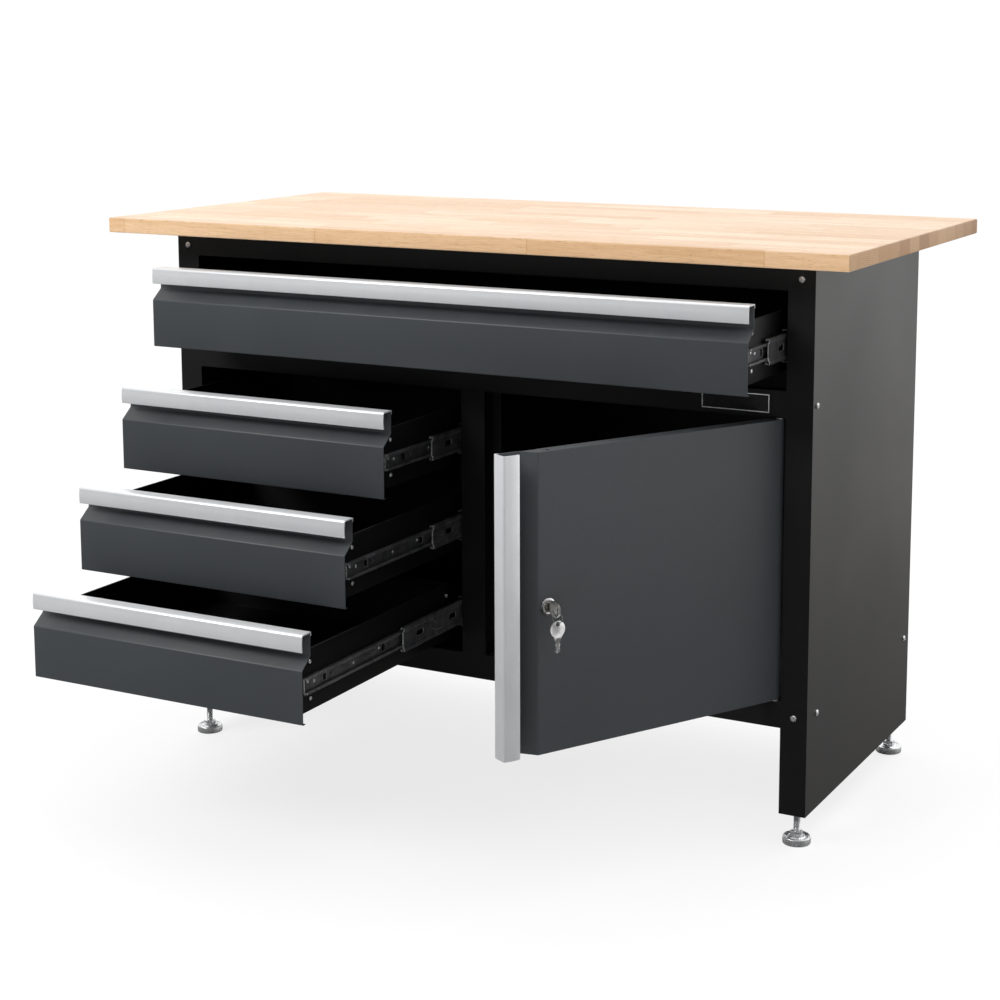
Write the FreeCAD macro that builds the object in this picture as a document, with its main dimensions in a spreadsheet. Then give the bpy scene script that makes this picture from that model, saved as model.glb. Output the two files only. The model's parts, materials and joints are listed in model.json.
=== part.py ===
import FreeCAD, Part
import math
import os
import Sketcher

# A steel workbench with a wooden top: one wide drawer above, three narrow drawers
# below on the left, and a cupboard with a right-hung, locking door below on the right.
# Millimetres, +X to the right, +Y to the back, +Z up. The origin is on the floor,
# under the middle of the worktop. The drawers and the door stand part open.

doc = FreeCAD.newDocument("Workbench")

# ---- driving dimensions --------------------------------------------------------------

DIMENSIONS = [
    # worktop
    ("top_width", 1200, "worktop, left to right"),
    ("top_depth", 600, "worktop, front to back"),
    ("top_thickness", 23, "worktop board"),
    ("top_height", 843, "upper face of the worktop above the floor"),
    ("top_edge_round", 2.5, "rounding of the worktop's edges"),
    # frame
    ("overhang_side", 73, "worktop past each side panel"),
    ("overhang_front", 78, "worktop past the front of the frame"),
    ("overhang_back", 60, "worktop past the back of the frame"),
    ("leg_bottom", 47, "lower edge of the side panels above the floor"),
    ("leg_face", 39, "width of each side panel's front and back flange"),
    ("leg_return", 20, "flange folded back behind the leg's face"),
    ("frame_sheet", 1.5, "steel sheet of side panels and rails"),
    ("panel_sheet", 1.2, "steel sheet of fronts, door, trays and divider"),
    ("liner_sheet", 1, "steel sheet of liners, floor and back"),
    ("rail_height", 38, "height of the top and middle rails"),
    ("bottom_rail_height", 37, "height of the bottom rail"),
    ("rail_depth", 20, "flanges of the rails"),
    ("wide_opening", 137, "height of the opening for the wide drawer"),
    ("bottom_rail_rise", 124, "bottom rail above the side panels' lower edge"),
    ("divider_centre", 1.5, "middle of the divider post, right of the centre"),
    ("divider_face", 39, "width of the divider post"),
    ("stop_setback", 25, "door stop behind the front of the frame"),
    ("stop_width", 14, "width of the door stop"),
    # badge
    ("badge_width", 100, "blank name plate"),
    ("badge_height", 26, "blank name plate"),
    ("badge_thickness", 0.8, "blank name plate"),
    ("badge_inset", 23.5, "name plate's right end from the right leg"),
    # bolts
    ("bolt_radius", 2.5, "frame bolts, M5"),
    ("bolt_head_radius", 4.4, "pan head"),
    ("bolt_head_height", 2.6, "pan head"),
    ("bolt_length", 11, "shank"),
    ("bolt_socket_radius", 1.6, "hexagon socket, across its corners"),
    ("bolt_socket_depth", 1.5, "hexagon socket"),
    ("bolt_clearance", 0.25, "bolt hole larger than the bolt, on the radius"),
    ("nut_radius", 4.4, "M5 nut across its corners"),
    ("nut_height", 4, "M5 nut"),
    ("leg_bolt_drop", 22, "upper leg bolt below the worktop"),
    ("leg_bolt_rise", 17, "lower leg bolt above the bottom rail's lower edge"),
    ("side_bolt_inset", 15, "upper side bolt behind the leg's face"),
    ("side_low_front_inset", 38, "lower front side bolt behind the leg's face"),
    ("side_low_back_inset", 25, "lower back side bolt from the back"),
    ("wood_screw_radius", 2, "worktop screws"),
    ("wood_screw_length", 16, "worktop screws, in the wood"),
    ("wood_screw_spacing", 400, "between worktop screws"),
    # drawer fronts and handles
    ("side_gap", 7, "drawer front or door to leg or post"),
    ("wide_front_rise", 11, "wide drawer front above the middle rail"),
    ("wide_front_top_gap", 6.7, "wide drawer front under the top rail"),
    ("front_rise", 11.4, "lowest drawer front above the bottom rail"),
    ("front_top_gap", 1.8, "upper narrow drawer front under the middle rail"),
    ("front_spacing", 8.4, "from one narrow drawer front to the next"),
    ("front_bend_drop", 48.6, "bend of a drawer front below its top"),
    ("slope_run", 20, "slope behind the handle, front to back"),
    ("slope_rise", 16, "slope behind the handle, along the front"),
    ("front_lip", 6, "lower edge folded back"),
    ("handle_face", 24, "visible face of a handle"),
    ("handle_wall", 1.8, "aluminium profile's wall"),
    ("handle_bow", 0.8, "convex bow of the handle's face"),
    ("handle_round", 3.6, "rounded front edge of a handle"),
    ("handle_hook", 5.5, "handle hooked over the sheet"),
    # trays and slides
    ("tray_rise", 12.5, "tray's bottom above the front's lower edge"),
    ("wide_tray_drop", 21.8, "wide drawer's tray below its handle's top"),
    ("tray_drop", 25.5, "narrow drawer's tray below its handle's top"),
    ("tray_short", 4, "tray shorter than its slide"),
    ("slide_gap", 13, "tray's side to leg or post"),
    ("slide_drop", 5, "slide's middle below the middle of the tray's side"),
    ("slide_setback", 5, "cabinet rail behind the leg's face"),
    ("slide_back_room", 57, "cabinet rail's back end from the frame's back"),
    ("middle_rail_short", 25, "middle member shorter than the cabinet rail"),
    ("rail_sheet", 1.2, "slide's steel strip"),
    ("outer_rail_half", 22.5, "half the height of the cabinet rail"),
    ("outer_rail_gap", 3.5, "cabinet rail's edges from the tray"),
    ("outer_rail_curl", 3, "cabinet rail's edges, folded over"),
    ("middle_rail_half", 17.4, "half the height of the middle member"),
    ("middle_rail_near", 2.6, "middle member's tracks from the cabinet's wall"),
    ("middle_rail_step", 2, "middle member's web from its tracks' edges"),
    ("middle_rail_slope", 2.4, "middle member's step, up and down"),
    ("middle_rail_track", 4.4, "inner track of the middle member"),
    ("middle_rail_gap", 3.6, "middle member from the tray"),
    ("middle_rail_curl", 3, "middle member's edges, folded over"),
    ("inner_rail_half", 11.5, "half the height of the drawer rail"),
    ("inner_rail_width", 6, "drawer rail, out from the tray"),
    ("inner_rail_curl", 2.9, "drawer rail's edges, folded over"),
    ("inner_rail_setback", 9.6, "drawer rail's front end behind the front's sheet"),
    ("inner_slot_half", 4.5, "slots in the drawer rail, half their length"),
    ("inner_slot_rise", 5, "slots in the drawer rail, half their height"),
    ("inner_hole_radius", 2.4, "holes in the drawer rail"),
    ("inner_hole_offset", 16, "holes in the drawer rail, behind its slots"),
    ("middle_slot_half", 9, "slots in the middle member, half their length"),
    ("middle_slot_rise", 4, "slots in the middle member, half their height"),
    ("tray_screw_radius", 3, "heads of the screws on a tray's side"),
    ("tray_screw_height", 1.6, "heads of the screws on a tray's side"),
    ("tray_screw_above", 30, "upper tray screws above the slide's middle"),
    ("tray_screw_below", 20.4, "lower tray screws below the slide's middle"),
    ("tray_screw_front_inset", 26, "front tray screws from the tray's front end"),
    ("tray_screw_back_inset", 10, "back tray screws from the tray's back end"),
    # how far the drawers stand open, and where their middle members stand
    ("wide_open", 125, "wide drawer, pulled out"),
    ("upper_open", 205, "upper narrow drawer, pulled out"),
    ("middle_open", 307, "middle narrow drawer, pulled out"),
    ("full_travel_past", 13, "a drawer's whole travel, past its slide's length"),
    ("wide_middle_out", 57, "its middle member's front end before the frame"),
    ("upper_middle_out", 77, "its middle member's front end before the frame"),
    ("middle_middle_out", 77, "its middle member's front end before the frame"),
    ("lower_middle_out", 162, "its middle member's front end before the frame"),
    # door
    ("door_opening_angle", 61.1, "door, turned open"),
    ("door_top_gap", 2, "under the middle rail"),
    ("door_bottom_gap", 2, "over the bottom rail"),
    ("door_pan", 20, "depth of the door's folded edges"),
    ("door_lip", 10, "inner lips of the door's folded edges"),
    ("door_bend", 51, "bend of the door's face from its outer edge"),
    ("hinge_inset", 4, "pin's middle from the door's hinge edge"),
    ("hinge_setback", 6, "pin's middle behind the door's face"),
    ("hinge_pin_radius", 2.5, "hinge pins"),
    ("hinge_pin_length", 9, "hinge pins past the rails"),
    ("hinge_pin_clearance", 0.1, "pin hole larger than the pin, on the radius"),
    ("hinge_collar_radius", 5.5, "collar under the door"),
    # lock
    ("lock_from_edge", 66, "lock's middle from the door's free edge"),
    ("lock_rise", 194, "lock's middle above the door's lower edge"),
    ("bezel_radius", 11.5, "lock's front rim"),
    ("bezel_height", 2.4, "lock's front rim"),
    ("bezel_round", 0.8, "rounding of the rim"),
    ("barrel_radius", 9.2, "lock barrel"),
    ("barrel_length", 26, "lock barrel behind the door's face"),
    ("barrel_clearance", 0.2, "hole in the door larger than the barrel"),
    ("lock_nut_radius", 14, "lock nut across its corners"),
    ("lock_nut_height", 4, "lock nut"),
    ("lock_nut_clearance", 0.05, "nut's bore larger than the barrel, on the radius"),
    ("plug_radius", 6.2, "turning plug"),
    ("plug_clearance", 0.1, "barrel's bore larger than the plug, on the radius"),
    ("plug_proud", 0.6, "plug before the rim"),
    ("cam_gap", 1, "cam behind the barrel"),
    ("cam_length", 67, "cam from the plug's middle"),
    ("cam_width", 14, "cam"),
    ("cam_thickness", 2, "cam"),
    # keys
    ("key_thickness", 2, "key"),
    ("key_bow_radius", 11, "key's round head"),
    ("key_blade_width", 8, "key's blade"),
    ("key_blade_length", 20, "key's blade past its head"),
    ("key_slot_clearance", 0.15, "keyway larger than the blade, each side"),
    ("key_neck", 2, "key's head before the plug"),
    ("key_tip_half", 1, "half the width of a key's tip"),
    ("key_tip_slope", 2.5, "slope of a key's tip"),
    ("key_notch", 1.4, "depth of the notches in a key's blade"),
    ("key_notch_step", 2, "length of one side of a notch"),
    ("key_hole_radius", 3.1, "hole in the key's head"),
    ("key_hole_edge", 1.2, "metal past the hole"),
    ("ring_radius", 6.3, "key ring, to the middle of its wire"),
    ("ring_wire_radius", 0.6, "key ring's wire"),
    ("ring_drop", 0.5, "wire below the middle of a key's hole"),
    ("ring_turn", 45, "key ring turned away from the door's plane"),
    # feet
    ("foot_inset_side", 20, "foot's middle from the side panel's face"),
    ("foot_inset_end", 23, "foot's middle from the frame's front or back"),
    ("foot_plate", 3, "plate in the bottom of each leg"),
    ("foot_plate_length", 44, "plate, front to back"),
    ("foot_pad_radius", 20, "foot's pad"),
    ("foot_pad_rim", 5, "height of the pad's rim"),
    ("foot_pad_height", 11, "height of the pad"),
    ("foot_pad_round", 1, "slanted rim of the pad"),
    ("foot_pad_shoulder", 2, "pad's shoulder out from the stud's hexagon"),
    ("foot_pad_dome", 2.5, "pad's shoulder above its rim"),
    ("stud_radius", 5, "foot's stud, M10"),
    ("stud_clearance", 0.3, "hole in the plate larger than the stud"),
    ("stud_top", 88, "top of the stud above the floor"),
    ("stud_hex_radius", 9.2, "hexagon on the stud, across its corners"),
    ("stud_hex_height", 7, "hexagon on the stud"),
]

sheet = doc.addObject("Spreadsheet::Sheet", "Sizes")
for row, (alias, value, meaning) in enumerate(DIMENSIONS, start=1):
    sheet.set("A%d" % row, alias)
    sheet.set("B%d" % row, str(value))
    sheet.set("C%d" % row, meaning)
    sheet.setAlias("B%d" % row, alias)
doc.recompute()


class Size:
    """A length kept twice: as a formula on the sheet, and as its value now."""

    def __init__(self, formula, value):
        self.formula = formula
        self.value = value

    def _with(self, sign, other, value):
        return Size("(%s %s %s)" % (self.formula, sign, size_of(other).formula), value)

    def __add__(self, other):
        return self._with("+", other, self.value + size_of(other).value)

    def __sub__(self, other):
        return self._with("-", other, self.value - size_of(other).value)

    def __mul__(self, other):
        return self._with("*", other, self.value * size_of(other).value)

    def __truediv__(self, other):
        return self._with("/", other, self.value / size_of(other).value)

    def __rmul__(self, other):
        return self * other

    def __neg__(self):
        return Size("(0 - %s)" % self.formula, -self.value)


def size_of(thing):
    if isinstance(thing, Size):
        return thing
    if thing < 0:
        return Size("(0 - %r)" % -float(thing), float(thing))
    return Size("%r" % float(thing), float(thing))


def root_of(area):
    return Size("sqrt(%s)" % area.formula, math.sqrt(area.value))


class Sizes:
    """Every alias on the sheet, as a Size."""


size = Sizes()
for alias, value, meaning in DIMENSIONS:
    setattr(size, alias, Size("Sizes." + alias, float(value)))

ZERO = size_of(0)

# ---- places worked out from the dimensions -------------------------------------------

board_under = size.top_height - size.top_thickness
side_out = size.top_width / 2 - size.overhang_side
side_in = side_out - size.leg_face
front = -(size.top_depth / 2 - size.overhang_front)
back = size.top_depth / 2 - size.overhang_back

top_rail_low = board_under - size.rail_height
middle_rail_top = top_rail_low - size.wide_opening
middle_rail_low = middle_rail_top - size.rail_height
bottom_rail_low = size.leg_bottom + size.bottom_rail_rise
bottom_rail_top = bottom_rail_low + size.bottom_rail_height
floor_top = bottom_rail_top - size.frame_sheet

post_left = size.divider_centre - size.divider_face / 2
post_right = size.divider_centre + size.divider_face / 2

leg_bolt_x = side_out - size.leg_face / 2
leg_bolt_heights = (board_under - size.leg_bolt_drop, bottom_rail_low + size.leg_bolt_rise)
side_bolts = (
    (front + size.side_bolt_inset, (middle_rail_top + middle_rail_low) / 2),
    (front + size.side_low_front_inset, leg_bolt_heights[1]),
    (back - size.side_low_back_inset, leg_bolt_heights[1]),
)
wood_screw_rows = (front + size.rail_depth / 2, back - size.rail_depth / 2)
wood_screw_columns = (-size.wood_screw_spacing, ZERO, size.wood_screw_spacing)

wide_front_height = size.wide_opening - size.wide_front_rise - size.wide_front_top_gap
fronts_span = middle_rail_low - bottom_rail_top - size.front_rise - size.front_top_gap
front_height = (fronts_span - 2 * size.front_spacing) / 3
drawer_pitch = front_height + size.front_spacing

slide_length = back - front - size.slide_setback - size.slide_back_room
middle_rail_length = slide_length - size.middle_rail_short
tray_length = slide_length - size.tray_short

# The sheet's inner face meets the slope a little lower than its outer face.
slope_length = root_of(size.slope_run * size.slope_run + size.slope_rise * size.slope_rise)
bend_shift = size.panel_sheet * (slope_length - size.slope_rise) / size.slope_run

hinge_x = side_in - size.side_gap - size.hinge_inset
hinge_y = front + size.hinge_setback
door_low = bottom_rail_top + size.door_bottom_gap
door_top = middle_rail_low - size.door_top_gap
door_face = -size.hinge_setback
door_edge = hinge_x - post_right - size.side_gap
lock_x = -(door_edge - size.lock_from_edge)
lock_height = door_low + size.lock_rise

foot_x = side_out - size.foot_inset_side
foot_rows = {"front": front + size.foot_inset_end, "back": back - size.foot_inset_end}

# ---- helpers -------------------------------------------------------------------------

subparts = []


def bind(thing, path, length):
    thing.setExpression(path, length.formula)


def new_body(label):
    body = doc.addObject("PartDesign::Body", label)
    body.Label = label
    body.AllowCompound = True
    subparts.append(body)
    return body


def rectangle(a_low, b_low, a_high, b_high):
    return [(a_low, b_low), (a_high, b_low), (a_high, b_high), (a_low, b_high)]


def hexagon(a_mid, b_mid, radius):
    turns = ((1, 0), (0.5, 1), (-0.5, 1), (-1, 0), (-0.5, -1), (0.5, -1))
    rise = radius * root_of(size_of(3)) / 2
    return [(a_mid + radius * a, b_mid + rise * b) for a, b in turns]


class Circle:
    def __init__(self, a_mid, b_mid, radius):
        self.a_mid = size_of(a_mid)
        self.b_mid = size_of(b_mid)
        self.radius = size_of(radius)


def dimension(sketch, kind, geometry, end, length):
    """Hold one end of a line or arc at its distance from the sketch's origin."""
    number = sketch.addConstraint(Sketcher.Constraint(kind, -1, 1, geometry, end, length.value))
    sketch.setExpression("Constraints[%d]" % number, length.formula)


def radius_of(sketch, geometry, radius):
    number = sketch.addConstraint(Sketcher.Constraint("Radius", geometry, radius.value))
    sketch.setExpression("Constraints[%d]" % number, radius.formula)


def draw_circle(sketch, circle):
    centre = FreeCAD.Vector(circle.a_mid.value, circle.b_mid.value, 0)
    edge = Part.Circle(centre, FreeCAD.Vector(0, 0, 1), circle.radius.value)
    number = sketch.addGeometry(edge, False)
    dimension(sketch, "DistanceX", number, 3, circle.a_mid)
    dimension(sketch, "DistanceY", number, 3, circle.b_mid)
    radius_of(sketch, number, circle.radius)


def draw_outline(sketch, outline):
    """Lines from point to point; a point's third entry makes the next edge an arc,
    whose middle is on the left of the way there."""
    corners = [FreeCAD.Vector(size_of(p[0]).value, size_of(p[1]).value, 0) for p in outline]
    edges = []
    for index, point in enumerate(outline):
        here = corners[index]
        there = corners[(index + 1) % len(corners)]
        if len(point) == 2:
            edges.append(sketch.addGeometry(Part.LineSegment(here, there), False))
            continue
        radius = point[2].value
        chord = there - here
        left = FreeCAD.Vector(-chord.y, chord.x, 0).normalize()
        reach = math.sqrt(max(radius ** 2 - chord.Length ** 2 / 4, 0))
        middle = here + chord / 2 + left * reach
        start = math.atan2(here.y - middle.y, here.x - middle.x)
        finish = math.atan2(there.y - middle.y, there.x - middle.x)
        finish += 2 * math.pi if finish < start else 0
        circle = Part.Circle(middle, FreeCAD.Vector(0, 0, 1), radius)
        edges.append(sketch.addGeometry(Part.ArcOfCircle(circle, start, finish), False))
    for index, point in enumerate(outline):
        before = edges[index - 1]
        sketch.addConstraint(Sketcher.Constraint("Coincident", before, 2, edges[index], 1))
        dimension(sketch, "DistanceX", edges[index], 1, size_of(point[0]))
        dimension(sketch, "DistanceY", edges[index], 1, size_of(point[1]))
        if len(point) == 3:
            radius_of(sketch, edges[index], point[2])


PLANES = {"X": "YZ_Plane", "Y": "XZ_Plane", "Z": "XY_Plane"}


def new_sketch(body, axis, place, outlines):
    """A sketch across the axis. It is drawn in (y, z), (x, z) or (x, y)."""
    sketch = body.newObject("Sketcher::SketchObject", body.Name + "_sketch")
    planes = [p for p in body.Origin.OriginFeatures if p.Role == PLANES[axis]]
    sketch.AttachmentSupport = [(planes[0], "")]
    sketch.MapMode = "FlatFace"
    bind(sketch, "AttachmentOffset.Base.z", -place if axis == "Y" else place)
    for outline in outlines:
        if isinstance(outline, Circle):
            draw_circle(sketch, outline)
        else:
            draw_outline(sketch, outline)
    return sketch


def pad(body, axis, low, high, outlines):
    """Add metal between two places along an axis."""
    low = size_of(low)
    high = size_of(high)
    feature = body.newObject("PartDesign::Pad", body.Name + "_pad")
    feature.Profile = new_sketch(body, axis, high if axis == "Y" else low, outlines)
    bind(feature, "Length", high - low)
    return feature


def pocket(body, axis, low, high, outlines):
    """Take metal away between two places along an axis."""
    low = size_of(low)
    high = size_of(high)
    feature = body.newObject("PartDesign::Pocket", body.Name + "_pocket")
    feature.Profile = new_sketch(body, axis, low if axis == "Y" else high, outlines)
    bind(feature, "Length", high - low)
    return feature


def fillet(body, radius, wanted):
    """Round the edges of the body that a test on their bounding boxes picks."""
    doc.recompute()
    names = []
    for number, edge in enumerate(body.Tip.Shape.Edges, start=1):
        if wanted(edge):
            names.append("Edge%d" % number)
    feature = body.newObject("PartDesign::Fillet", body.Name + "_fillet")
    feature.Base = (feature.BaseFeature, names)
    bind(feature, "Radius", radius)
    return feature


def turned(outline):
    """An outline drawn in (back, along), as the door needs it in (x, y)."""
    return [(-point[1], point[0]) + tuple(point[2:]) for point in outline]


def place(body, x_place=None, y_place=None, z_place=None):
    for path, length in (("x", x_place), ("y", y_place), ("z", z_place)):
        if length is not None:
            bind(body, "Placement.Base." + path, length)


def hang_on_hinge(part):
    """Put a piece, drawn shut and from the hinge pin, where the open door holds it."""
    upright = FreeCAD.Vector(0, 0, 1)
    turn = FreeCAD.Rotation(upright, size.door_opening_angle.value)
    part.Placement = FreeCAD.Placement(FreeCAD.Vector(0, 0, 0), turn)
    bind(part, "Placement.Rotation.Angle", size.door_opening_angle)
    place(part, hinge_x, hinge_y)


# ---- worktop and frame ---------------------------------------------------------------


def make_worktop():
    body = new_body("worktop")
    half_width = size.top_width / 2
    half_depth = size.top_depth / 2
    board = rectangle(-half_width, -half_depth, half_width, half_depth)
    pad(body, "Z", board_under, size.top_height, [board])
    fillet(body, size.top_edge_round, lambda edge: True)
    holes = []
    for y_place in wood_screw_rows:
        for x_place in wood_screw_columns:
            holes.append(Circle(x_place, y_place, size.wood_screw_radius))
    pocket(body, "Z", board_under, board_under + size.wood_screw_length, holes)


def make_side_panel(label, hand):
    """One bent sheet: a side with a leg folded at its front and its back."""
    wall = size.frame_sheet
    lip = size.leg_return
    outer = [
        (side_in, front + lip),
        (side_in, front),
        (side_out, front),
        (side_out, back),
        (side_in, back),
        (side_in, back - lip),
        (side_in + wall, back - lip),
        (side_in + wall, back - wall),
        (side_out - wall, back - wall),
        (side_out - wall, front + wall),
        (side_in + wall, front + wall),
        (side_in + wall, front + lip),
    ]
    body = new_body(label)
    pad(body, "Z", size.leg_bottom, board_under, [[(hand * x, y) for x, y in outer]])
    hole = size.bolt_radius + size.bolt_clearance
    leg_holes = [Circle(hand * leg_bolt_x, z, hole) for z in leg_bolt_heights]
    pocket(body, "Y", front, front + wall, leg_holes)
    side_holes = [Circle(y, z, hole) for y, z in side_bolts]
    if hand > 0:
        pocket(body, "X", side_out - wall, side_out, side_holes)
    else:
        pocket(body, "X", -side_out, -side_out + wall, side_holes)


def channel(y_face, inward, z_low, z_high):
    """A rail's section: a face with a flange along its upper and lower edge."""
    wall = size.frame_sheet
    y_in = y_face + inward * wall
    y_end = y_face + inward * size.rail_depth
    return [
        (y_face, z_low),
        (y_end, z_low),
        (y_end, z_low + wall),
        (y_in, z_low + wall),
        (y_in, z_high - wall),
        (y_end, z_high - wall),
        (y_end, z_high),
        (y_face, z_high),
    ]


def make_rail(label, y_face, inward, z_low, z_high, screw_row=None):
    body = new_body(label)
    pad(body, "X", -side_in, side_in, [channel(y_face, inward, z_low, z_high)])
    if screw_row is not None:
        hole = size.wood_screw_radius + size.bolt_clearance
        holes = [Circle(x, screw_row, hole) for x in wood_screw_columns]
        pocket(body, "Z", z_high - size.frame_sheet, z_high, holes)


def make_divider():
    """Left wall, post and door stop, folded from one sheet."""
    wall = size.panel_sheet
    stop = front + size.stop_setback
    stop_end = post_right + size.stop_width
    section = [
        (post_left, front),
        (post_right, front),
        (post_right, stop),
        (stop_end, stop),
        (stop_end, stop + wall),
        (post_right - wall, stop + wall),
        (post_right - wall, front + wall),
        (post_left + wall, front + wall),
        (post_left + wall, back - size.liner_sheet),
        (post_left, back - size.liner_sheet),
    ]
    pad(new_body("divider_post"), "Z", bottom_rail_top, middle_rail_low, [section])


def make_panels():
    lip = size.leg_return
    liner = rectangle(side_in, front + lip, side_in + size.liner_sheet, back - lip)
    for label, hand in (("left_liner", -1), ("right_liner", 1)):
        pad(new_body(label), "Z", floor_top, top_rail_low, [[(hand * x, y) for x, y in liner]])
    back_sheet = rectangle(-side_in, bottom_rail_low, side_in, top_rail_low)
    pad(new_body("back_panel"), "Y", back - size.liner_sheet, back, [back_sheet])
    floor = rectangle(-side_in, front + size.frame_sheet, side_in, back - size.liner_sheet)
    pad(new_body("floor_panel"), "Z", floor_top - size.liner_sheet, floor_top, [floor])


def make_badge():
    body = new_body("badge_plate")
    right = side_in - size.badge_inset
    low = middle_rail_low + (size.rail_height - size.badge_height) / 2
    plate = rectangle(right - size.badge_width, low, right, low + size.badge_height)
    pad(body, "Y", front - size.badge_thickness, front, [plate])


def make_fasteners():
    bolts = new_body("frame_bolts")
    nuts = new_body("frame_nuts")
    socket_depth = size.bolt_socket_depth
    nut_face = front + size.frame_sheet
    spots = [(hand * leg_bolt_x, z) for hand in (-1, 1) for z in leg_bolt_heights]
    heads = [Circle(x, z, size.bolt_head_radius) for x, z in spots]
    shanks = [Circle(x, z, size.bolt_radius) for x, z in spots]
    sockets = [hexagon(x, z, size.bolt_socket_radius) for x, z in spots]
    pad(bolts, "Y", front - size.bolt_head_height, front, heads)
    pad(bolts, "Y", front, front + size.bolt_length, shanks)
    head_top = front - size.bolt_head_height
    pocket(bolts, "Y", head_top, head_top + socket_depth, sockets)
    rings = [hexagon(x, z, size.nut_radius) for x, z in spots] + shanks
    pad(nuts, "Y", nut_face, nut_face + size.nut_height, rings)
    for hand in (-1, 1):
        heads = [Circle(y, z, size.bolt_head_radius) for y, z in side_bolts]
        shanks = [Circle(y, z, size.bolt_radius) for y, z in side_bolts]
        sockets = [hexagon(y, z, size.bolt_socket_radius) for y, z in side_bolts]
        rings = [hexagon(y, z, size.nut_radius) for y, z in side_bolts] + shanks
        head_top = side_out + size.bolt_head_height
        shank_end = side_out - size.bolt_length
        nut_out = side_out - size.frame_sheet
        steps = (
            (pad, bolts, side_out, head_top, heads),
            (pad, bolts, shank_end, side_out, shanks),
            (pocket, bolts, head_top - socket_depth, head_top, sockets),
            (pad, nuts, nut_out - size.nut_height, nut_out, rings),
        )
        for make, body, low, high, outlines in steps:
            if hand > 0:
                make(body, "X", low, high, outlines)
            else:
                make(body, "X", -high, -low, outlines)


def make_worktop_screws():
    body = new_body("worktop_screws")
    spots = [(x, y) for y in wood_screw_rows for x in wood_screw_columns]
    heads = [Circle(x, y, 2 * size.wood_screw_radius) for x, y in spots]
    shanks = [Circle(x, y, size.wood_screw_radius) for x, y in spots]
    flange = board_under - size.frame_sheet
    pad(body, "Z", flange - size.wood_screw_radius, flange, heads)
    pad(body, "Z", flange, board_under + size.wood_screw_length, shanks)


# ---- feet ----------------------------------------------------------------------------


def make_feet():
    plates = new_body("foot_plates")
    hole = size.stud_radius + size.stud_clearance
    outlines = []
    holes = []
    for y_foot, y_edge, inward in (
        (foot_rows["front"], front + size.frame_sheet, 1),
        (foot_rows["back"], back - size.frame_sheet, -1),
    ):
        for hand in (-1, 1):
            x_low = hand * (side_in + size.frame_sheet)
            x_high = hand * (side_out - size.frame_sheet)
            y_end = y_edge + inward * size.foot_plate_length
            outlines.append(rectangle(x_low, y_edge, x_high, y_end))
            holes.append(Circle(hand * foot_x, y_foot, hole))
    pad(plates, "Z", size.leg_bottom, size.leg_bottom + size.foot_plate, outlines)
    pocket(plates, "Z", size.leg_bottom, size.leg_bottom + size.foot_plate, holes)
    for row, y_foot in foot_rows.items():
        for side, hand in (("left", -1), ("right", 1)):
            make_foot("%s_%s" % (row, side), hand * foot_x, y_foot)


def make_foot(name, x_foot, y_foot):
    pad_body = new_body("foot_pad_" + name)
    neck = size.stud_hex_radius
    radius = size.foot_pad_radius
    section = [
        (ZERO, ZERO),
        (radius, ZERO),
        (radius, size.foot_pad_rim - size.foot_pad_round),
        (radius - size.foot_pad_round, size.foot_pad_rim),
        (neck + size.foot_pad_shoulder, size.foot_pad_rim + size.foot_pad_dome),
        (neck, size.foot_pad_height),
        (ZERO, size.foot_pad_height),
    ]
    cone = pad_body.newObject("PartDesign::Revolution", pad_body.Name + "_turned")
    cone.Profile = new_sketch(pad_body, "Y", ZERO, [section])
    cone.ReferenceAxis = (cone.Profile[0], ["V_Axis"])
    cone.Angle = 360
    stud = new_body("foot_stud_" + name)
    hex_top = size.foot_pad_height + size.stud_hex_height
    outline = hexagon(ZERO, ZERO, size.stud_hex_radius)
    pad(stud, "Z", size.foot_pad_height, hex_top, [outline])
    pad(stud, "Z", hex_top, size.stud_top, [Circle(0, 0, size.stud_radius)])
    for body in (pad_body, stud):
        place(body, x_foot, y_foot)


# ---- drawers -------------------------------------------------------------------------


def front_section(face, low, top, bend):
    """A drawer front, in (back, up): lip, face, slope, and a wall behind the handle."""
    wall = size.panel_sheet
    under_handle = top - size.handle_wall
    slope_top = bend + size.slope_rise
    behind = face + size.slope_run
    return [
        (face, low),
        (face + size.front_lip, low),
        (face + size.front_lip, low + wall),
        (face + wall, low + wall),
        (face + wall, bend - bend_shift),
        (behind + wall, slope_top - bend_shift),
        (behind + wall, under_handle),
        (behind, under_handle),
        (behind, slope_top),
        (face, bend),
    ]


def handle_section(face, top):
    """A handle, in (back, up): a bowed face, a rounded edge, a top and a hook."""
    wall = size.handle_wall
    bow = size.handle_bow
    rounding = size.handle_round
    deep = size.slope_run + size.panel_sheet + wall
    half_chord = (size.handle_face - rounding) / 2
    bow_radius = (half_chord * half_chord + bow * bow) / (2 * bow)
    outer = face + bow
    inner = outer + wall
    hook_low = top - size.handle_hook
    return [
        (outer, top - size.handle_face),
        (inner, top - size.handle_face),
        (inner, top - wall),
        (face + deep - wall, top - wall),
        (face + deep - wall, hook_low),
        (face + deep, hook_low),
        (face + deep, top),
        (outer + rounding, top, rounding),
        (outer, top - rounding, bow_radius),
    ]


def outer_rail_section(half, wall):
    """Cabinet rail, in (distance from the cabinet's wall, up)."""
    reach = size.slide_gap - size.outer_rail_gap
    curl = size.outer_rail_curl
    return [
        (ZERO, -half),
        (reach, -half),
        (reach, -half + curl),
        (reach - wall, -half + curl),
        (reach - wall, -half + wall),
        (wall, -half + wall),
        (wall, half - wall),
        (reach - wall, half - wall),
        (reach - wall, half - curl),
        (reach, half - curl),
        (reach, half),
        (ZERO, half),
    ]


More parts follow.
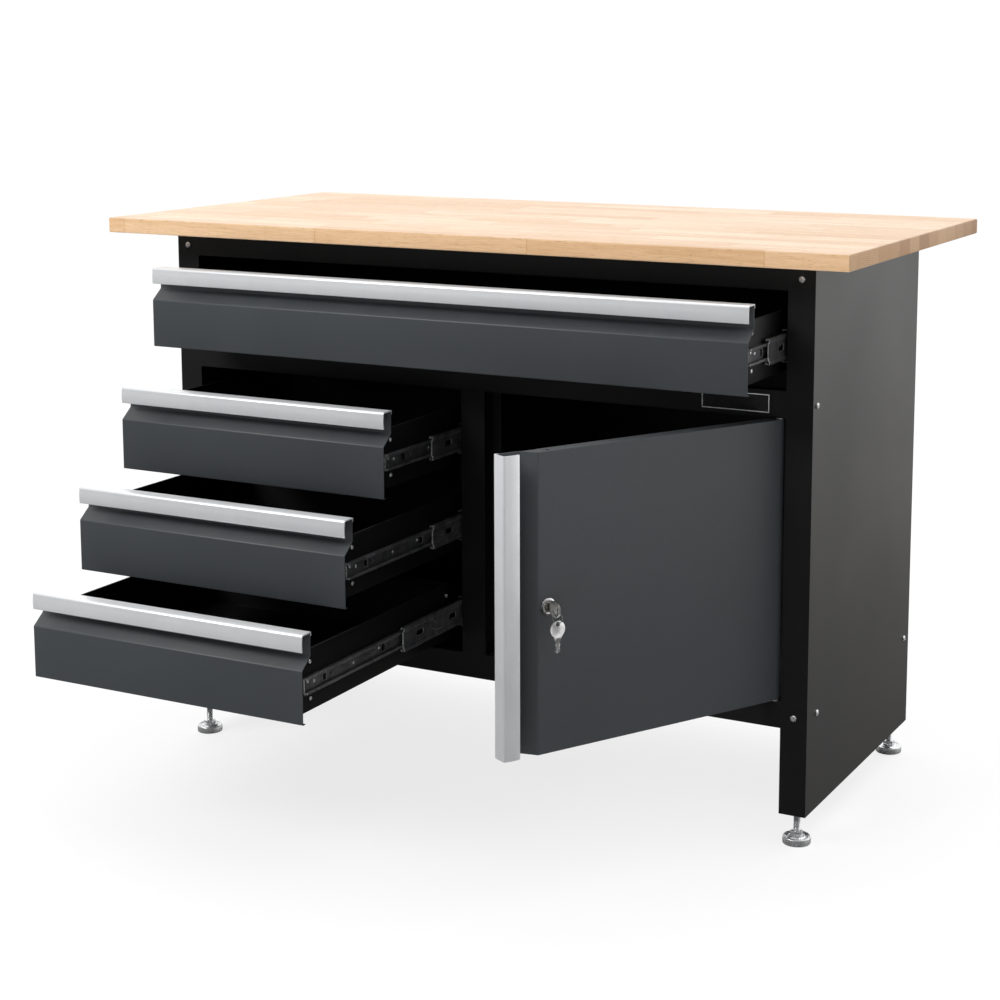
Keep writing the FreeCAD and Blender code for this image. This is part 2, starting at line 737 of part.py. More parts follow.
def middle_rail_section(half, wall):
    """Middle member: a web with a ball track folded at its top and its bottom."""
    near = size.middle_rail_near
    web = near + size.middle_rail_step
    reach = size.slide_gap - size.middle_rail_gap
    curl = size.middle_rail_curl
    track = size.middle_rail_track
    inside = track - 0.4 * wall
    upper = [
        (web + wall, half - inside - size.middle_rail_slope),
        (near + wall, half - inside),
        (near + wall, half - wall),
        (reach - wall, half - wall),
        (reach - wall, half - curl),
        (reach, half - curl),
        (reach, half),
        (near, half),
        (near, half - track),
        (web, half - track - size.middle_rail_slope),
    ]
    return upper + [(across, -up) for across, up in reversed(upper)]


def inner_rail_section(half, wall):
    """Drawer rail: a web against the tray, with its edges folded to the cabinet."""
    tray = size.slide_gap
    near = tray - size.inner_rail_width
    curl = size.inner_rail_curl
    return [
        (tray, -half),
        (tray, half),
        (near, half),
        (near, half - curl),
        (near + wall, half - curl),
        (near + wall, half - wall),
        (tray - wall, half - wall),
        (tray - wall, -half + wall),
        (near + wall, -half + wall),
        (near + wall, -half + curl),
        (near, -half + curl),
        (near, -half),
    ]


class Drawer:
    """Where one drawer goes, shut, and how far it stands open."""

    def __init__(self, name, right_wall, low, height, tray_drop, out):
        self.name = name
        self.left_wall = -side_in
        self.right_wall = right_wall
        self.low = low
        self.top = low + height
        self.tray_low = low + size.tray_rise
        self.tray_top = self.top - tray_drop
        self.slide_mid = (self.tray_low + self.tray_top) / 2 - size.slide_drop
        self.pulled = out[0]
        self.middle_out = out[1]


def slide_pair(body, drawer, section, y_low, y_high):
    """The left and the right member of a drawer's slides."""
    outlines = []
    for wall_x, hand in ((drawer.left_wall, 1), (drawer.right_wall, -1)):
        outlines.append([(wall_x + hand * a, drawer.slide_mid + b) for a, b in section])
    pad(body, "Y", y_low, y_high, outlines)


def make_drawer(drawer):
    left = drawer.left_wall + size.side_gap
    right = drawer.right_wall - size.side_gap
    top = drawer.top
    bend = top - size.front_bend_drop
    wall = size.panel_sheet

    panel = new_body(drawer.name + "_front")
    pad(panel, "X", left, right, [front_section(front, drawer.low, top, bend)])
    handle = new_body(drawer.name + "_handle")
    pad(handle, "X", left, right, [handle_section(front, top)])

    tray = new_body(drawer.name + "_tray")
    tray_left = drawer.left_wall + size.slide_gap
    tray_right = drawer.right_wall - size.slide_gap
    tray_low = drawer.tray_low
    tray_top = drawer.tray_top
    tray_front = front + wall
    tray_back = tray_front + tray_length
    behind = front + size.slope_run + wall
    slope_foot = bend - bend_shift
    side = [
        (tray_front, tray_low),
        (tray_back, tray_low),
        (tray_back, tray_top),
        (behind, tray_top),
        (behind, slope_foot + size.slope_rise),
        (tray_front, slope_foot),
    ]
    pad(tray, "X", tray_left, tray_right, [side])
    hollow = rectangle(tray_left + wall, tray_front + wall, tray_right - wall, tray_back - wall)
    pocket(tray, "Z", tray_low + wall, tray_top, [hollow])

    rails = new_body(drawer.name + "_inner_rails")
    rail_front = tray_front + size.inner_rail_setback
    section = inner_rail_section(size.inner_rail_half, size.rail_sheet)
    slide_pair(rails, drawer, section, rail_front, tray_back)
    mid = drawer.slide_mid
    slots = []
    for share in (1.5, 6, 10):
        y_slot = rail_front + share * tray_length / 12
        half = size.inner_slot_half
        rise = size.inner_slot_rise
        slots.append(rectangle(y_slot - half, mid - rise, y_slot + half, mid + rise))
        slots.append(Circle(y_slot + size.inner_hole_offset, mid, size.inner_hole_radius))
    pocket(rails, "X", tray_left - size.slide_gap, tray_right + size.slide_gap, slots)

    screws = new_body(drawer.name + "_screws")
    heads = []
    screw_rows = (tray_front + size.tray_screw_front_inset, tray_back - size.tray_screw_back_inset)
    for y_screw in screw_rows:
        for rise in (-size.tray_screw_below, size.tray_screw_above):
            heads.append(Circle(y_screw, mid + rise, size.tray_screw_radius))
    pad(screws, "X", tray_left - size.tray_screw_height, tray_left, heads)
    pad(screws, "X", tray_right, tray_right + size.tray_screw_height, heads)

    for body in (panel, handle, tray, rails, screws):
        place(body, y_place=-drawer.pulled)

    members = new_body(drawer.name + "_middle_rails")
    member_front = front - drawer.middle_out
    section = middle_rail_section(size.middle_rail_half, size.rail_sheet)
    slide_pair(members, drawer, section, ZERO, middle_rail_length)
    slots = []
    for share in (1, 3, 5, 7):
        y_slot = share * middle_rail_length / 8
        half = size.middle_slot_half
        rise = size.middle_slot_rise
        slots.append(rectangle(y_slot - half, mid - rise, y_slot + half, mid + rise))
    pocket(members, "X", drawer.left_wall, drawer.right_wall, slots)
    place(members, y_place=member_front)


def make_cabinet_rails(drawers):
    body = new_body("cabinet_rails")
    rail_front = front + size.slide_setback
    section = outer_rail_section(size.outer_rail_half, size.rail_sheet)
    for drawer in drawers:
        slide_pair(body, drawer, section, rail_front, rail_front + slide_length)


# ---- door ----------------------------------------------------------------------------


def make_door():
    wall = size.panel_sheet
    face = door_face
    hinge_edge = -size.hinge_inset
    bend = door_edge - size.door_bend
    slope_top = bend + size.slope_rise
    behind = face + size.slope_run
    pan_back = face + size.door_pan
    under_handle = door_edge - size.handle_wall
    sheet_section = [
        (face, hinge_edge),
        (pan_back, hinge_edge),
        (pan_back, hinge_edge + size.door_lip),
        (pan_back - wall, hinge_edge + size.door_lip),
        (pan_back - wall, hinge_edge + wall),
        (face + wall, hinge_edge + wall),
        (face + wall, bend - bend_shift),
        (behind + wall, slope_top - bend_shift),
        (behind + wall, under_handle),
        (behind, under_handle),
        (behind, slope_top),
        (face, bend),
    ]
    slope_here = size.slope_rise * (size.door_pan - 2 * wall) / size.slope_run
    flange_section = [
        (face + wall, hinge_edge + wall),
        (pan_back - wall, hinge_edge + wall),
        (pan_back - wall, bend - bend_shift + slope_here),
        (face + wall, bend - bend_shift),
    ]
    body = new_body("door_panel")
    pad(body, "Z", door_low, door_top, [turned(sheet_section)])
    pad(body, "Z", door_low, door_low + wall, [turned(flange_section)])
    pad(body, "Z", door_top - wall, door_top, [turned(flange_section)])
    lip_end = bend - size.door_lip
    lip = turned(rectangle(pan_back - wall, hinge_edge + wall, pan_back, lip_end))
    pad(body, "Z", door_low, door_low + size.door_lip, [lip])
    pad(body, "Z", door_top - size.door_lip, door_top, [lip])
    pin_hole = Circle(0, 0, size.hinge_pin_radius + size.hinge_pin_clearance)
    pocket(body, "Z", door_low, door_low + wall, [pin_hole])
    pocket(body, "Z", door_top - wall, door_top, [pin_hole])
    lock_hole = Circle(lock_x, lock_height, size.barrel_radius + size.barrel_clearance)
    pocket(body, "Y", face, face + wall, [lock_hole])
    hang_on_hinge(body)

    handle = new_body("door_handle")
    pad(handle, "Z", door_low, door_top, [turned(handle_section(face, door_edge))])
    hang_on_hinge(handle)


def make_hinge_pins():
    body = new_body("hinge_pins")
    pin = [Circle(0, 0, size.hinge_pin_radius)]
    collar = [Circle(0, 0, size.hinge_collar_radius)]
    collar_height = size.door_bottom_gap - 0.5
    low = bottom_rail_top
    high = middle_rail_low
    pad(body, "Z", low, low + collar_height, collar)
    pad(body, "Z", low + collar_height, low + size.hinge_pin_length, pin)
    pad(body, "Z", high - size.hinge_pin_length, high - collar_height, pin)
    pad(body, "Z", high - collar_height, high, collar)
    place(body, hinge_x, hinge_y)


def make_lock():
    x_lock = lock_x
    z_lock = lock_height
    face = door_face
    barrel_back = face + size.barrel_length
    bore = [Circle(x_lock, z_lock, size.plug_radius + size.plug_clearance)]
    rim_front = face - size.bezel_height

    barrel = new_body("lock_barrel")
    pad(barrel, "Y", rim_front, face, [Circle(x_lock, z_lock, size.bezel_radius)])
    pad(barrel, "Y", face, barrel_back, [Circle(x_lock, z_lock, size.barrel_radius)])
    pocket(barrel, "Y", rim_front, barrel_back, bore)

    def on_rim(edge):
        box = edge.BoundBox
        return box.YMax < rim_front.value + 0.01 and box.XLength > 2 * size.barrel_radius.value

    fillet(barrel, size.bezel_round, on_rim)

    nut = new_body("lock_nut")
    nut_front = face + size.panel_sheet
    ring = [
        hexagon(x_lock, z_lock, size.lock_nut_radius),
        Circle(x_lock, z_lock, size.barrel_radius + size.lock_nut_clearance),
    ]
    pad(nut, "Y", nut_front, nut_front + size.lock_nut_height, ring)

    plug = new_body("lock_plug")
    plug_front = rim_front - size.plug_proud
    cam_front = barrel_back + size.cam_gap
    pad(plug, "Y", plug_front, cam_front, [Circle(x_lock, z_lock, size.plug_radius)])
    half_slot = size.key_thickness / 2 + size.key_slot_clearance
    slot_rise = size.key_blade_width / 2 + size.key_slot_clearance
    slot_left = x_lock - half_slot
    slot_right = x_lock + half_slot
    keyway = rectangle(slot_left, z_lock - slot_rise, slot_right, z_lock + slot_rise)
    slot_end = plug_front + size.key_blade_length
    pocket(plug, "Y", plug_front, slot_end, [keyway])

    cam = new_body("lock_cam")
    half_cam = size.cam_width / 2
    cam_left = x_lock - half_cam
    cam_right = x_lock + half_cam
    bar = rectangle(cam_left, z_lock - size.cam_length, cam_right, z_lock + half_cam)
    pad(cam, "Y", cam_front, cam_front + size.cam_thickness, [bar])
    half_thick = size.cam_thickness.value / 2
    fillet(cam, half_cam * 0.9, lambda edge: edge.BoundBox.YLength > half_thick)

    bow_mid = plug_front - size.key_neck - size.key_bow_radius
    blade_end = slot_end - size.key_tip_half
    hole_reach = size.key_bow_radius - size.key_hole_radius - size.key_hole_edge
    hole_y = bow_mid - 0.8 * hole_reach
    hole_z = z_lock - 0.6 * hole_reach
    key = new_body("door_key")
    half_key = size.key_thickness / 2
    bow = [Circle(bow_mid, z_lock, size.key_bow_radius)]
    blade_rise = size.key_blade_width / 2
    blade = rectangle(bow_mid, z_lock - blade_rise, blade_end, z_lock + blade_rise)
    pad(key, "X", x_lock - half_key, x_lock + half_key, bow)
    pad(key, "X", x_lock - half_key, x_lock + half_key, [blade])
    hole = [Circle(hole_y, hole_z, size.key_hole_radius)]
    pocket(key, "X", x_lock - half_key, x_lock + half_key, hole)

    for body in (barrel, nut, plug, cam, key):
        hang_on_hinge(body)

    ring_mid = hole_z - size.ring_drop - size.ring_radius
    make_key_ring(x_lock, hole_y, ring_mid)
    spare_hole = ring_mid - size.ring_radius - size.ring_drop
    make_spare_key(x_lock, hole_y, spare_hole, hole_reach)


def make_key_ring(x_mid, y_mid, z_mid):
    """A ring of wire that stands upright, turned part way from the door's plane."""
    ring = doc.addObject("Part::Torus", "key_ring_wire")
    bind(ring, "Radius1", size.ring_radius)
    bind(ring, "Radius2", size.ring_wire_radius)
    shape = doc.addObject("Part::Compound", "key_ring")
    shape.Label = "key_ring"
    shape.Links = [ring]
    upright = FreeCAD.Rotation(FreeCAD.Vector(1, 0, 0), 90)
    across = FreeCAD.Rotation(FreeCAD.Vector(0, 0, 1), -size.ring_turn.value)
    ring.Placement = FreeCAD.Placement(FreeCAD.Vector(0, 0, 0), across * upright)
    place(ring, x_mid, y_mid, z_mid)
    subparts.append(shape)
    hang_on_hinge(shape)


def make_spare_key(x_mid, y_mid, z_hole, hole_reach):
    """The second key, flat to the door, hanging with its head on the ring."""
    key = new_body("spare_key")
    half_key = size.key_thickness / 2
    y_low = y_mid - half_key
    y_high = y_mid + half_key
    bow_mid = z_hole - hole_reach
    neck = size.key_blade_width / 2
    tip = bow_mid - size.key_bow_radius - size.key_blade_length
    shoulder = tip + size.key_tip_slope
    notch = shoulder + size.key_notch_step
    notch_end = notch + size.key_notch_step
    blade = [
        (x_mid - neck, bow_mid),
        (x_mid - neck, notch_end),
        (x_mid - neck + size.key_notch, notch),
        (x_mid - neck, shoulder),
        (x_mid - size.key_tip_half, tip),
        (x_mid + size.key_tip_half, tip),
        (x_mid + neck, shoulder),
        (x_mid + neck - size.key_notch, notch),
        (x_mid + neck, notch_end),
        (x_mid + neck, bow_mid),
    ]
    pad(key, "Y", y_low, y_high, [Circle(x_mid, bow_mid, size.key_bow_radius)])
    pad(key, "Y", y_low, y_high, [blade])
    pocket(key, "Y", y_low, y_high, [Circle(x_mid, z_hole, size.key_hole_radius)])
    hang_on_hinge(key)


# ---- the whole bench -----------------------------------------------------------------

make_worktop()
make_side_panel("left_side_panel", -1)
make_side_panel("right_side_panel", 1)
make_rail("top_front_rail", front, 1, top_rail_low, board_under, wood_screw_rows[0])
make_rail("middle_front_rail", front, 1, middle_rail_low, middle_rail_top)
make_rail("bottom_front_rail", front, 1, bottom_rail_low, bottom_rail_top)
make_rail("top_back_rail", back, -1, top_rail_low, board_under, wood_screw_rows[1])
make_divider()
make_panels()
make_badge()
make_fasteners()
make_worktop_screws()
make_feet()

wide_low = middle_rail_top + size.wide_front_rise
narrow_lows = [bottom_rail_top + size.front_rise + drawer_pitch * floor for floor in range(3)]
wide_out = (size.wide_open, size.wide_middle_out)
upper_out = (size.upper_open, size.upper_middle_out)
middle_out = (size.middle_open, size.middle_middle_out)
lower_out = (slide_length + size.full_travel_past, size.lower_middle_out)
drawers = [Drawer("wide_drawer", side_in, wide_low, wide_front_height, size.wide_tray_drop, wide_out)]
for name, low, out in zip(
    ("lower_drawer", "middle_drawer", "upper_drawer"),
    narrow_lows,
    (lower_out, middle_out, upper_out),
):
    drawers.append(Drawer(name, post_left, low, front_height, size.tray_drop, out))
for drawer in drawers:
    make_drawer(drawer)
make_cabinet_rails(drawers)

make_hinge_pins()
make_door()
make_lock()
doc.recompute()

# ---- checks and export ---------------------------------------------------------------

for thing in doc.Objects:
    if "Invalid" in thing.State or "Error" in thing.State:
        raise RuntimeError("%s failed: %s" % (thing.Label, thing.State))
    if thing.TypeId == "PartDesign::Pocket":
        before = thing.BaseFeature.Shape.Volume
        if thing.Shape.Volume > before - 1e-6:
            raise RuntimeError("%s cuts nothing" % thing.Label)

os.makedirs("parts", exist_ok=True)
for part in subparts:
    shape = part.Shape
    if shape.isNull() or not shape.isValid() or not shape.Solids:
        raise RuntimeError("%s has no valid solid" % part.Label)
    shape.exportStep("parts/%s.step" % part.Label)
    box = shape.BoundBox
    print("%-28s %2d solids  x %8.2f %8.2f  y %8.2f %8.2f  z %7.2f %7.2f" % (
        part.Label, len(shape.Solids), box.XMin, box.XMax, box.YMin, box.YMax,
        box.ZMin, box.ZMax))
print("%d sub-parts" % len(subparts))
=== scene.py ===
# %% [markdown]
# # A workbench with drawers
# The engineering model arrives as a fixed frame: sixty steel, wood and aluminium parts, each
# at its real place, in metres. Plain parts that are already right keep their mesh and get a
# finish. Parts that are seen from close by are modelled again here, with the bends, rounded
# edges, threads and recesses that the real ones have.

# %% Load the frame
import json
import math
import bmesh
import bpy
from mathutils import Matrix, Vector


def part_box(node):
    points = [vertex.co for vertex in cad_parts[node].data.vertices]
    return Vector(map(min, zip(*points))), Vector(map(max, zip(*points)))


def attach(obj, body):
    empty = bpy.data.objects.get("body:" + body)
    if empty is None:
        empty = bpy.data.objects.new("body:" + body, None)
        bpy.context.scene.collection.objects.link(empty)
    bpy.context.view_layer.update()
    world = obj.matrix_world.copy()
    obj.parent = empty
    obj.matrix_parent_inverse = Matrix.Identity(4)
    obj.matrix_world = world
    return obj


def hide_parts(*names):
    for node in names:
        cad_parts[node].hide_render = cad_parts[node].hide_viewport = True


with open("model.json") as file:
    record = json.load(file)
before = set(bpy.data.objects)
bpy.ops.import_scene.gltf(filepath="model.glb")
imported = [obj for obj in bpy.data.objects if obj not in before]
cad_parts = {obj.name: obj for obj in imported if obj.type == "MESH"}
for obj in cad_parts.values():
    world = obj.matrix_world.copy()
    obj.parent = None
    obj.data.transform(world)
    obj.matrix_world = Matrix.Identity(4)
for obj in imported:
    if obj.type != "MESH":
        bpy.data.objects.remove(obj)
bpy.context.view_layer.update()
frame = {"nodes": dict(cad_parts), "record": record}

nodes = frame["nodes"]

# %% [markdown]
# ## Camera and studio
# A long lens from the right, a little above the worktop, keeps the bench's upright edges
# nearly parallel. Aiming the camera down a little and shifting the lens a little shares the
# work between them, so that the other views still hold the whole bench.

# %% Camera


def stood(name, data):
    """Stand a camera or a lamp in the scene."""
    made = bpy.data.objects.new(name, data)
    bpy.context.scene.collection.objects.link(made)
    return made


camera_data = bpy.data.cameras.new("Camera")
camera = stood("Camera", camera_data)
bpy.context.scene.camera = camera
camera_data.sensor_width = 36
camera_data.lens = 72.62
camera_data.shift_x = -0.0427
camera_data.shift_y = -0.15
camera.location = (1.4331, -2.7575, 1.1129)
CAMERA_PITCH = 8.71
CAMERA_TURN = 27.43
camera.rotation_euler = (math.radians(90 - CAMERA_PITCH), 0, math.radians(CAMERA_TURN))
print("camera at", tuple(camera.location), "lens", camera_data.lens)

# %% [markdown]
# Shapes are made with the same tools as by hand. The first helpers only shorten the steps in
# edit mode: open one object, pick vertices, edges or faces by their place, and move them.

# %% Helpers for selecting
MM = 0.001


def mm(*pairs):
    """Pairs of millimetres as pairs of metres."""
    return [(first * MM, second * MM) for first, second in pairs]


def deselect():
    bpy.ops.object.select_all(action="DESELECT")


def only(piece):
    """Select one object and make it active."""
    deselect()
    piece.select_set(True)
    bpy.context.view_layer.objects.active = piece


def added(name):
    """Name the primitive that was just added."""
    piece = bpy.context.object
    piece.name = name
    piece.data.name = name
    return piece


def editing(piece):
    """Open one object in edit mode."""
    only(piece)
    bpy.ops.object.mode_set(mode="EDIT")


def done():
    bpy.ops.object.mode_set(mode="OBJECT")


def choose(kind, test):
    """In edit mode, select the vertices, edges or faces that pass a test."""
    bpy.ops.mesh.select_mode(type=kind)
    bpy.ops.mesh.select_all(action="DESELECT")
    mesh = bmesh.from_edit_mesh(bpy.context.object.data)
    parts = {"VERT": mesh.verts, "EDGE": mesh.edges, "FACE": mesh.faces}[kind]
    for part in parts:
        if test(part):
            part.select_set(True)
    mesh.select_flush_mode()
    bmesh.update_edit_mesh(bpy.context.object.data)


def move_vertices(test, offset):
    """In edit mode, move the vertices that pass a test."""
    choose("VERT", test)
    bpy.ops.transform.translate(value=offset)


def face_outwards():
    """In edit mode, point every face outwards."""
    bpy.ops.mesh.select_all(action="SELECT")
    bpy.ops.mesh.normals_make_consistent(inside=False)


print("selecting ready")

# %% [markdown]
# The next helpers work on whole objects. A modifier is applied as soon as it is set, and a
# piece's place goes into its mesh, so that a pattern on it stays put when its body moves.

# %% Helpers for objects


def apply(piece, kind, **settings):
    """Add a modifier, set it, and apply it."""
    only(piece)
    modifier = piece.modifiers.new(kind.title(), kind)
    for name, value in settings.items():
        setattr(modifier, name, value)
    bpy.ops.object.modifier_apply(modifier=modifier.name)


def smoothed(piece, degrees=38):
    """Shade smooth across edges that turn by less than an angle."""
    only(piece)
    bpy.ops.object.shade_smooth_by_angle(angle=math.radians(degrees))


def soften(piece, width, segments=2, angle=35):
    """Round what is left sharp, and shade it smooth."""
    apply(piece, "BEVEL", width=width, segments=segments, limit_method="ANGLE",
          angle_limit=math.radians(angle), harden_normals=False)
    smoothed(piece)


def settle(piece, matrix):
    """Put a piece where it belongs, with its place in its mesh."""
    only(piece)
    piece.matrix_world = matrix
    bpy.context.view_layer.update()
    bpy.ops.object.transform_apply(location=True, rotation=True, scale=True)


def copied(piece, matrix, name):
    twin = piece.copy()
    twin.data = piece.data.copy()
    twin.name = name
    bpy.context.scene.collection.objects.link(twin)
    settle(twin, matrix)
    return twin


def joined(pieces, name):
    only(pieces[0])
    for piece in pieces:
        piece.select_set(True)
    bpy.ops.object.join()
    return added(name)


def removed(piece):
    bpy.data.objects.remove(piece, do_unlink=True)


def drilled(piece, cutter):
    """Cut one mesh away from another."""
    apply(piece, "BOOLEAN", object=cutter, operation="DIFFERENCE", solver="EXACT")
    removed(cutter)


print("object helpers ready")

# %% [markdown]
# Three starting shapes serve for what a factory cuts or turns: a bar, a block, and a disc that
# is drawn up ring after ring, as on a lathe.

# %% Bars, blocks and turned shapes


def cylinder(name, radius, low, high, vertices=32):
    """A round bar along Z."""
    deselect()
    bpy.ops.mesh.primitive_cylinder_add(
        vertices=vertices, radius=radius, depth=high - low, location=(0, 0, (low + high) / 2))
    piece = added(name)
    settle(piece, piece.matrix_world.copy())
    return piece


def block(name, low, high):
    """A box between two corners."""
    low, high = Vector(low), Vector(high)
    deselect()
    bpy.ops.mesh.primitive_cube_add(size=1, location=(low + high) / 2, scale=high - low)
    piece = added(name)
    settle(piece, piece.matrix_world.copy())
    return piece


def ring_up(steps, name, vertices):
    """A turned shape: a disc that is drawn up and in or out, ring after ring. Each step is
    the ring's radius and height."""
    deselect()
    radius, height = steps[0]
    bpy.ops.mesh.primitive_circle_add(
        vertices=vertices, radius=radius, fill_type="NGON", location=(0, 0, height))
    piece = added(name)
    settle(piece, piece.matrix_world.copy())
    editing(piece)
    bpy.ops.mesh.select_all(action="SELECT")
    bpy.ops.mesh.flip_normals()
    for wider, higher in steps[1:]:
        bpy.ops.mesh.extrude_region_move(
            TRANSFORM_OT_translate={"value": (0, 0, higher - height)})
        share = wider / radius
        bpy.ops.transform.resize(value=(share, share, 1), center_override=(0, 0, 0))
        radius, height = wider, higher
    face_outwards()
    done()
    return piece


print("turning ready")

# %% [markdown]
# Nearly all of the bench is folded sheet. The edge of a plane is extruded along the path of
# the outer face, the corners are rounded, and a Solidify modifier gives the sheet its wall.

# %% Folded sheet
REAL_CORNER = 0.3


def folded(name, path, low, high, wall, bend=1.4 * MM, trim=0.15 * MM):
    """Sheet folded along X. The path holds the corners of its outer face as (y, z). The
    bend is one radius for every real corner, or one for each of them in turn."""
    deselect()
    bpy.ops.mesh.primitive_plane_add(size=2)
    piece = added(name)
    editing(piece)
    for sign, (y, z) in ((-1, path[0]), (1, path[1])):
        move_vertices(lambda v: v.co.y * sign > 0.95, (0, y - sign, z))
    for sign, x in ((-1, low), (1, high)):
        move_vertices(lambda v: v.co.x * sign > 0.95, (x - sign, 0, 0))

    def at(corner):
        return lambda e: all(abs(v.co.y - corner[0]) + abs(v.co.z - corner[1]) < 2e-6
                             for v in e.verts)

    choose("EDGE", at(path[1]))
    for here, there in zip(path[1:], path[2:]):
        bpy.ops.mesh.extrude_edges_move(TRANSFORM_OT_translate={
            "value": (0, there[0] - here[0], there[1] - here[1])})
    corners = []
    for before, here, after in zip(path, path[1:], path[2:]):
        first = Vector(here) - Vector(before)
        second = Vector(after) - Vector(here)
        if first.angle(second) > REAL_CORNER:
            corners.append(here)
    radii = bend if isinstance(bend, tuple) else (bend,) * len(corners)
    for corner, radius in zip(corners, radii):
        choose("EDGE", at(corner))
        bpy.ops.mesh.bevel(offset=radius, segments=6, affect="EDGES")
    done()
    apply(piece, "SOLIDIFY", thickness=wall, offset=-1, use_even_offset=True)
    soften(piece, trim, angle=60)
    return piece


print("folding ready")

# %% [markdown]
# ## Finishes
# Every finish is a node material on Object coordinates, so it is as large on one part as on
# the next. What several finishes need is a node group, built once: edges lightened by wear and
# by a painted highlight, the orange peel of powder coating, drawn lines, scuffs and settled dust.

# %% Helpers for node trees


class Shader:
    """A node tree, with short ways to add nodes and join them."""

    def __init__(self, tree):
        self.tree = tree

    def feed(self, socket, value):
        if isinstance(value, bpy.types.NodeSocket):
            self.tree.links.new(value, socket)
        elif socket.type == "RGBA":
            socket.default_value = (*value[:3], 1)
        else:
            socket.default_value = value

    def node(self, kind, inputs=None, **settings):
        made = self.tree.nodes.new("ShaderNode" + kind)
        for name, value in settings.items():
            setattr(made, name, value)
        for name, value in (inputs or {}).items():
            self.feed(made.inputs[name], value)
        return made

    def math(self, operation, *values, clamp=False):
        made = self.node("Math", operation=operation, use_clamp=clamp)
        for socket, value in zip(made.inputs, values):
            self.feed(socket, value)
        return made.outputs[0]

    def plus(self, first, second, clamp=False):
        return self.math("ADD", first, second, clamp=clamp)

    def minus(self, first, second):
        return self.math("SUBTRACT", first, second)

    def times(self, first, second, clamp=False):
        return self.math("MULTIPLY", first, second, clamp=clamp)

    def vector_math(self, operation, *values):
        return self.node("VectorMath", dict(enumerate(values)), operation=operation).outputs

    def split(self, vector):
        """A vector's X, Y and Z."""
        return self.node("SeparateXYZ", {0: vector}).outputs[:3]

    def span(self, value, low, high, to_low=0.0, to_high=1.0):
        """Map a value's range onto another, held at its ends."""
        made = self.node("MapRange", {"Value": value, "From Min": low, "From Max": high,
                                      "To Min": to_low, "To Max": to_high})
        return made.outputs[0]

    def mix(self, share, first, second, blend="MIX"):
        made = self.node("Mix", data_type="RGBA", blend_type=blend)
        for index, value in ((0, share), (6, first), (7, second)):
            self.feed(made.inputs[index], value)
        return made.outputs[2]

    def noise(self, vector, scale, detail=3.0, distortion=0.0):
        made = self.node("TexNoise", {"Vector": vector, "Scale": scale, "Detail": detail,
                                      "Distortion": distortion})
        return made.outputs[0]

    def place(self):
        """The place on the piece, in metres."""
        return self.node("TexCoord").outputs["Object"]

    def stretched(self, scale):
        """The place on the piece, squeezed so that a noise on it is drawn out."""
        return self.node("Mapping", {"Vector": self.place(), "Scale": scale}).outputs[0]

    def ramp(self, value, stops):
        made = self.node("ValToRGB", {"Fac": value})
        line = made.color_ramp
        while len(line.elements) < len(stops):
            line.elements.new(0.5)
        for element, (place, colour) in zip(line.elements, stops):
            element.position = place
            element.color = (*colour, 1)
        return made.outputs[0]


def group(name, inputs, outputs):
    """An empty node group with named sockets."""
    tree = bpy.data.node_groups.new(name, "ShaderNodeTree")
    for label, kind, value in inputs:
        socket = tree.interface.new_socket(label, in_out="INPUT", socket_type="NodeSocket" + kind)
        socket.default_value = value
    for label, kind in outputs:
        tree.interface.new_socket(label, in_out="OUTPUT", socket_type="NodeSocket" + kind)
    shader = Shader(tree)
    shader.start = tree.nodes.new("NodeGroupInput").outputs
    shader.end = tree.nodes.new("NodeGroupOutput").inputs
    return shader


def placed(shader, name, **values):
    """Put a group into a material, with its own values."""
    made = shader.node("Group", node_tree=bpy.data.node_groups[name])
    for label, value in values.items():
        shader.feed(made.inputs[label], value)
    return made.outputs


print("node helpers ready")

# %% [markdown]
# Edges are made lighter, partly as wear, where the coating is thinner, and partly as a painted
# highlight. The corner is never quite sharp: a Bevel node finds the edges and gives a normal that
# turns round them; where that normal leaves the face's own, the mask is bright.

# %% Group: worn edges and painted highlight
g = group("Worn_and_highlit_edges", [("Radius", "Float", 0.0006), ("Amount", "Float", 1.0)],
          [("Mask", "Float"), ("Normal", "Vector")])
# This mask lightens edges in the colour: partly wear, partly a painted highlight.
rounded = g.node("Bevel", {"Radius": g.start["Radius"]}, samples=4).outputs[0]
flat = g.node("NewGeometry").outputs["True Normal"]
turn = g.vector_math("DOT_PRODUCT", rounded, flat)["Value"]
patchy = g.noise(g.place(), 45.0, 3.0)
strong = g.span(turn, 0.985, 0.82)
mask = g.times(g.times(strong, g.span(patchy, 0.3, 0.62)),
              g.start["Amount"], clamp=True)
g.feed(g.end["Mask"], mask)
g.feed(g.end["Normal"], rounded)
print("worn edges:", len(g.tree.nodes), "nodes")

# %% [markdown]
# Powder coating melts into a skin with a fine orange peel, a millimetre from dimple to
# dimple, and a much finer grit on top. A broad noise lets the gloss drift over a large panel.

# %% Group: powder coat
g = group("Powder_coat", [("Size", "Float", 0.0011)],
          [("Height", "Float"), ("Drift", "Float"), ("Grit", "Float")])
place = g.place()
fine = g.math("DIVIDE", 1.0, g.start["Size"])
peel = g.noise(place, fine, 2.0)
grit = g.noise(place, g.times(fine, 3.1), 2.0)
g.feed(g.end["Height"], g.plus(peel, g.times(grit, 0.35)))
g.feed(g.end["Drift"], g.noise(place, 2.3, 3.0, 0.4))
g.feed(g.end["Grit"], grit)
print("powder coat:", len(g.tree.nodes), "nodes")

# %% [markdown]
# Extruded, drawn and rolled metal keeps lines along its length. Noise that is stretched far
# along one axis gives them.

# %% Group: drawn lines
g = group("Drawn_lines", [("Stretch", "Vector", (1.0, 1.0, 1.0))], [("Lines", "Float")])
place = g.place()
along = g.vector_math("MULTIPLY", place, g.start["Stretch"])[0]
coarse = g.noise(along, 1.0, 4.0)
fine = g.noise(along, 3.7, 2.0)
g.feed(g.end["Lines"], g.plus(g.times(coarse, 0.6),
                              g.times(fine, 0.4)))
print("drawn lines:", len(g.tree.nodes), "nodes")

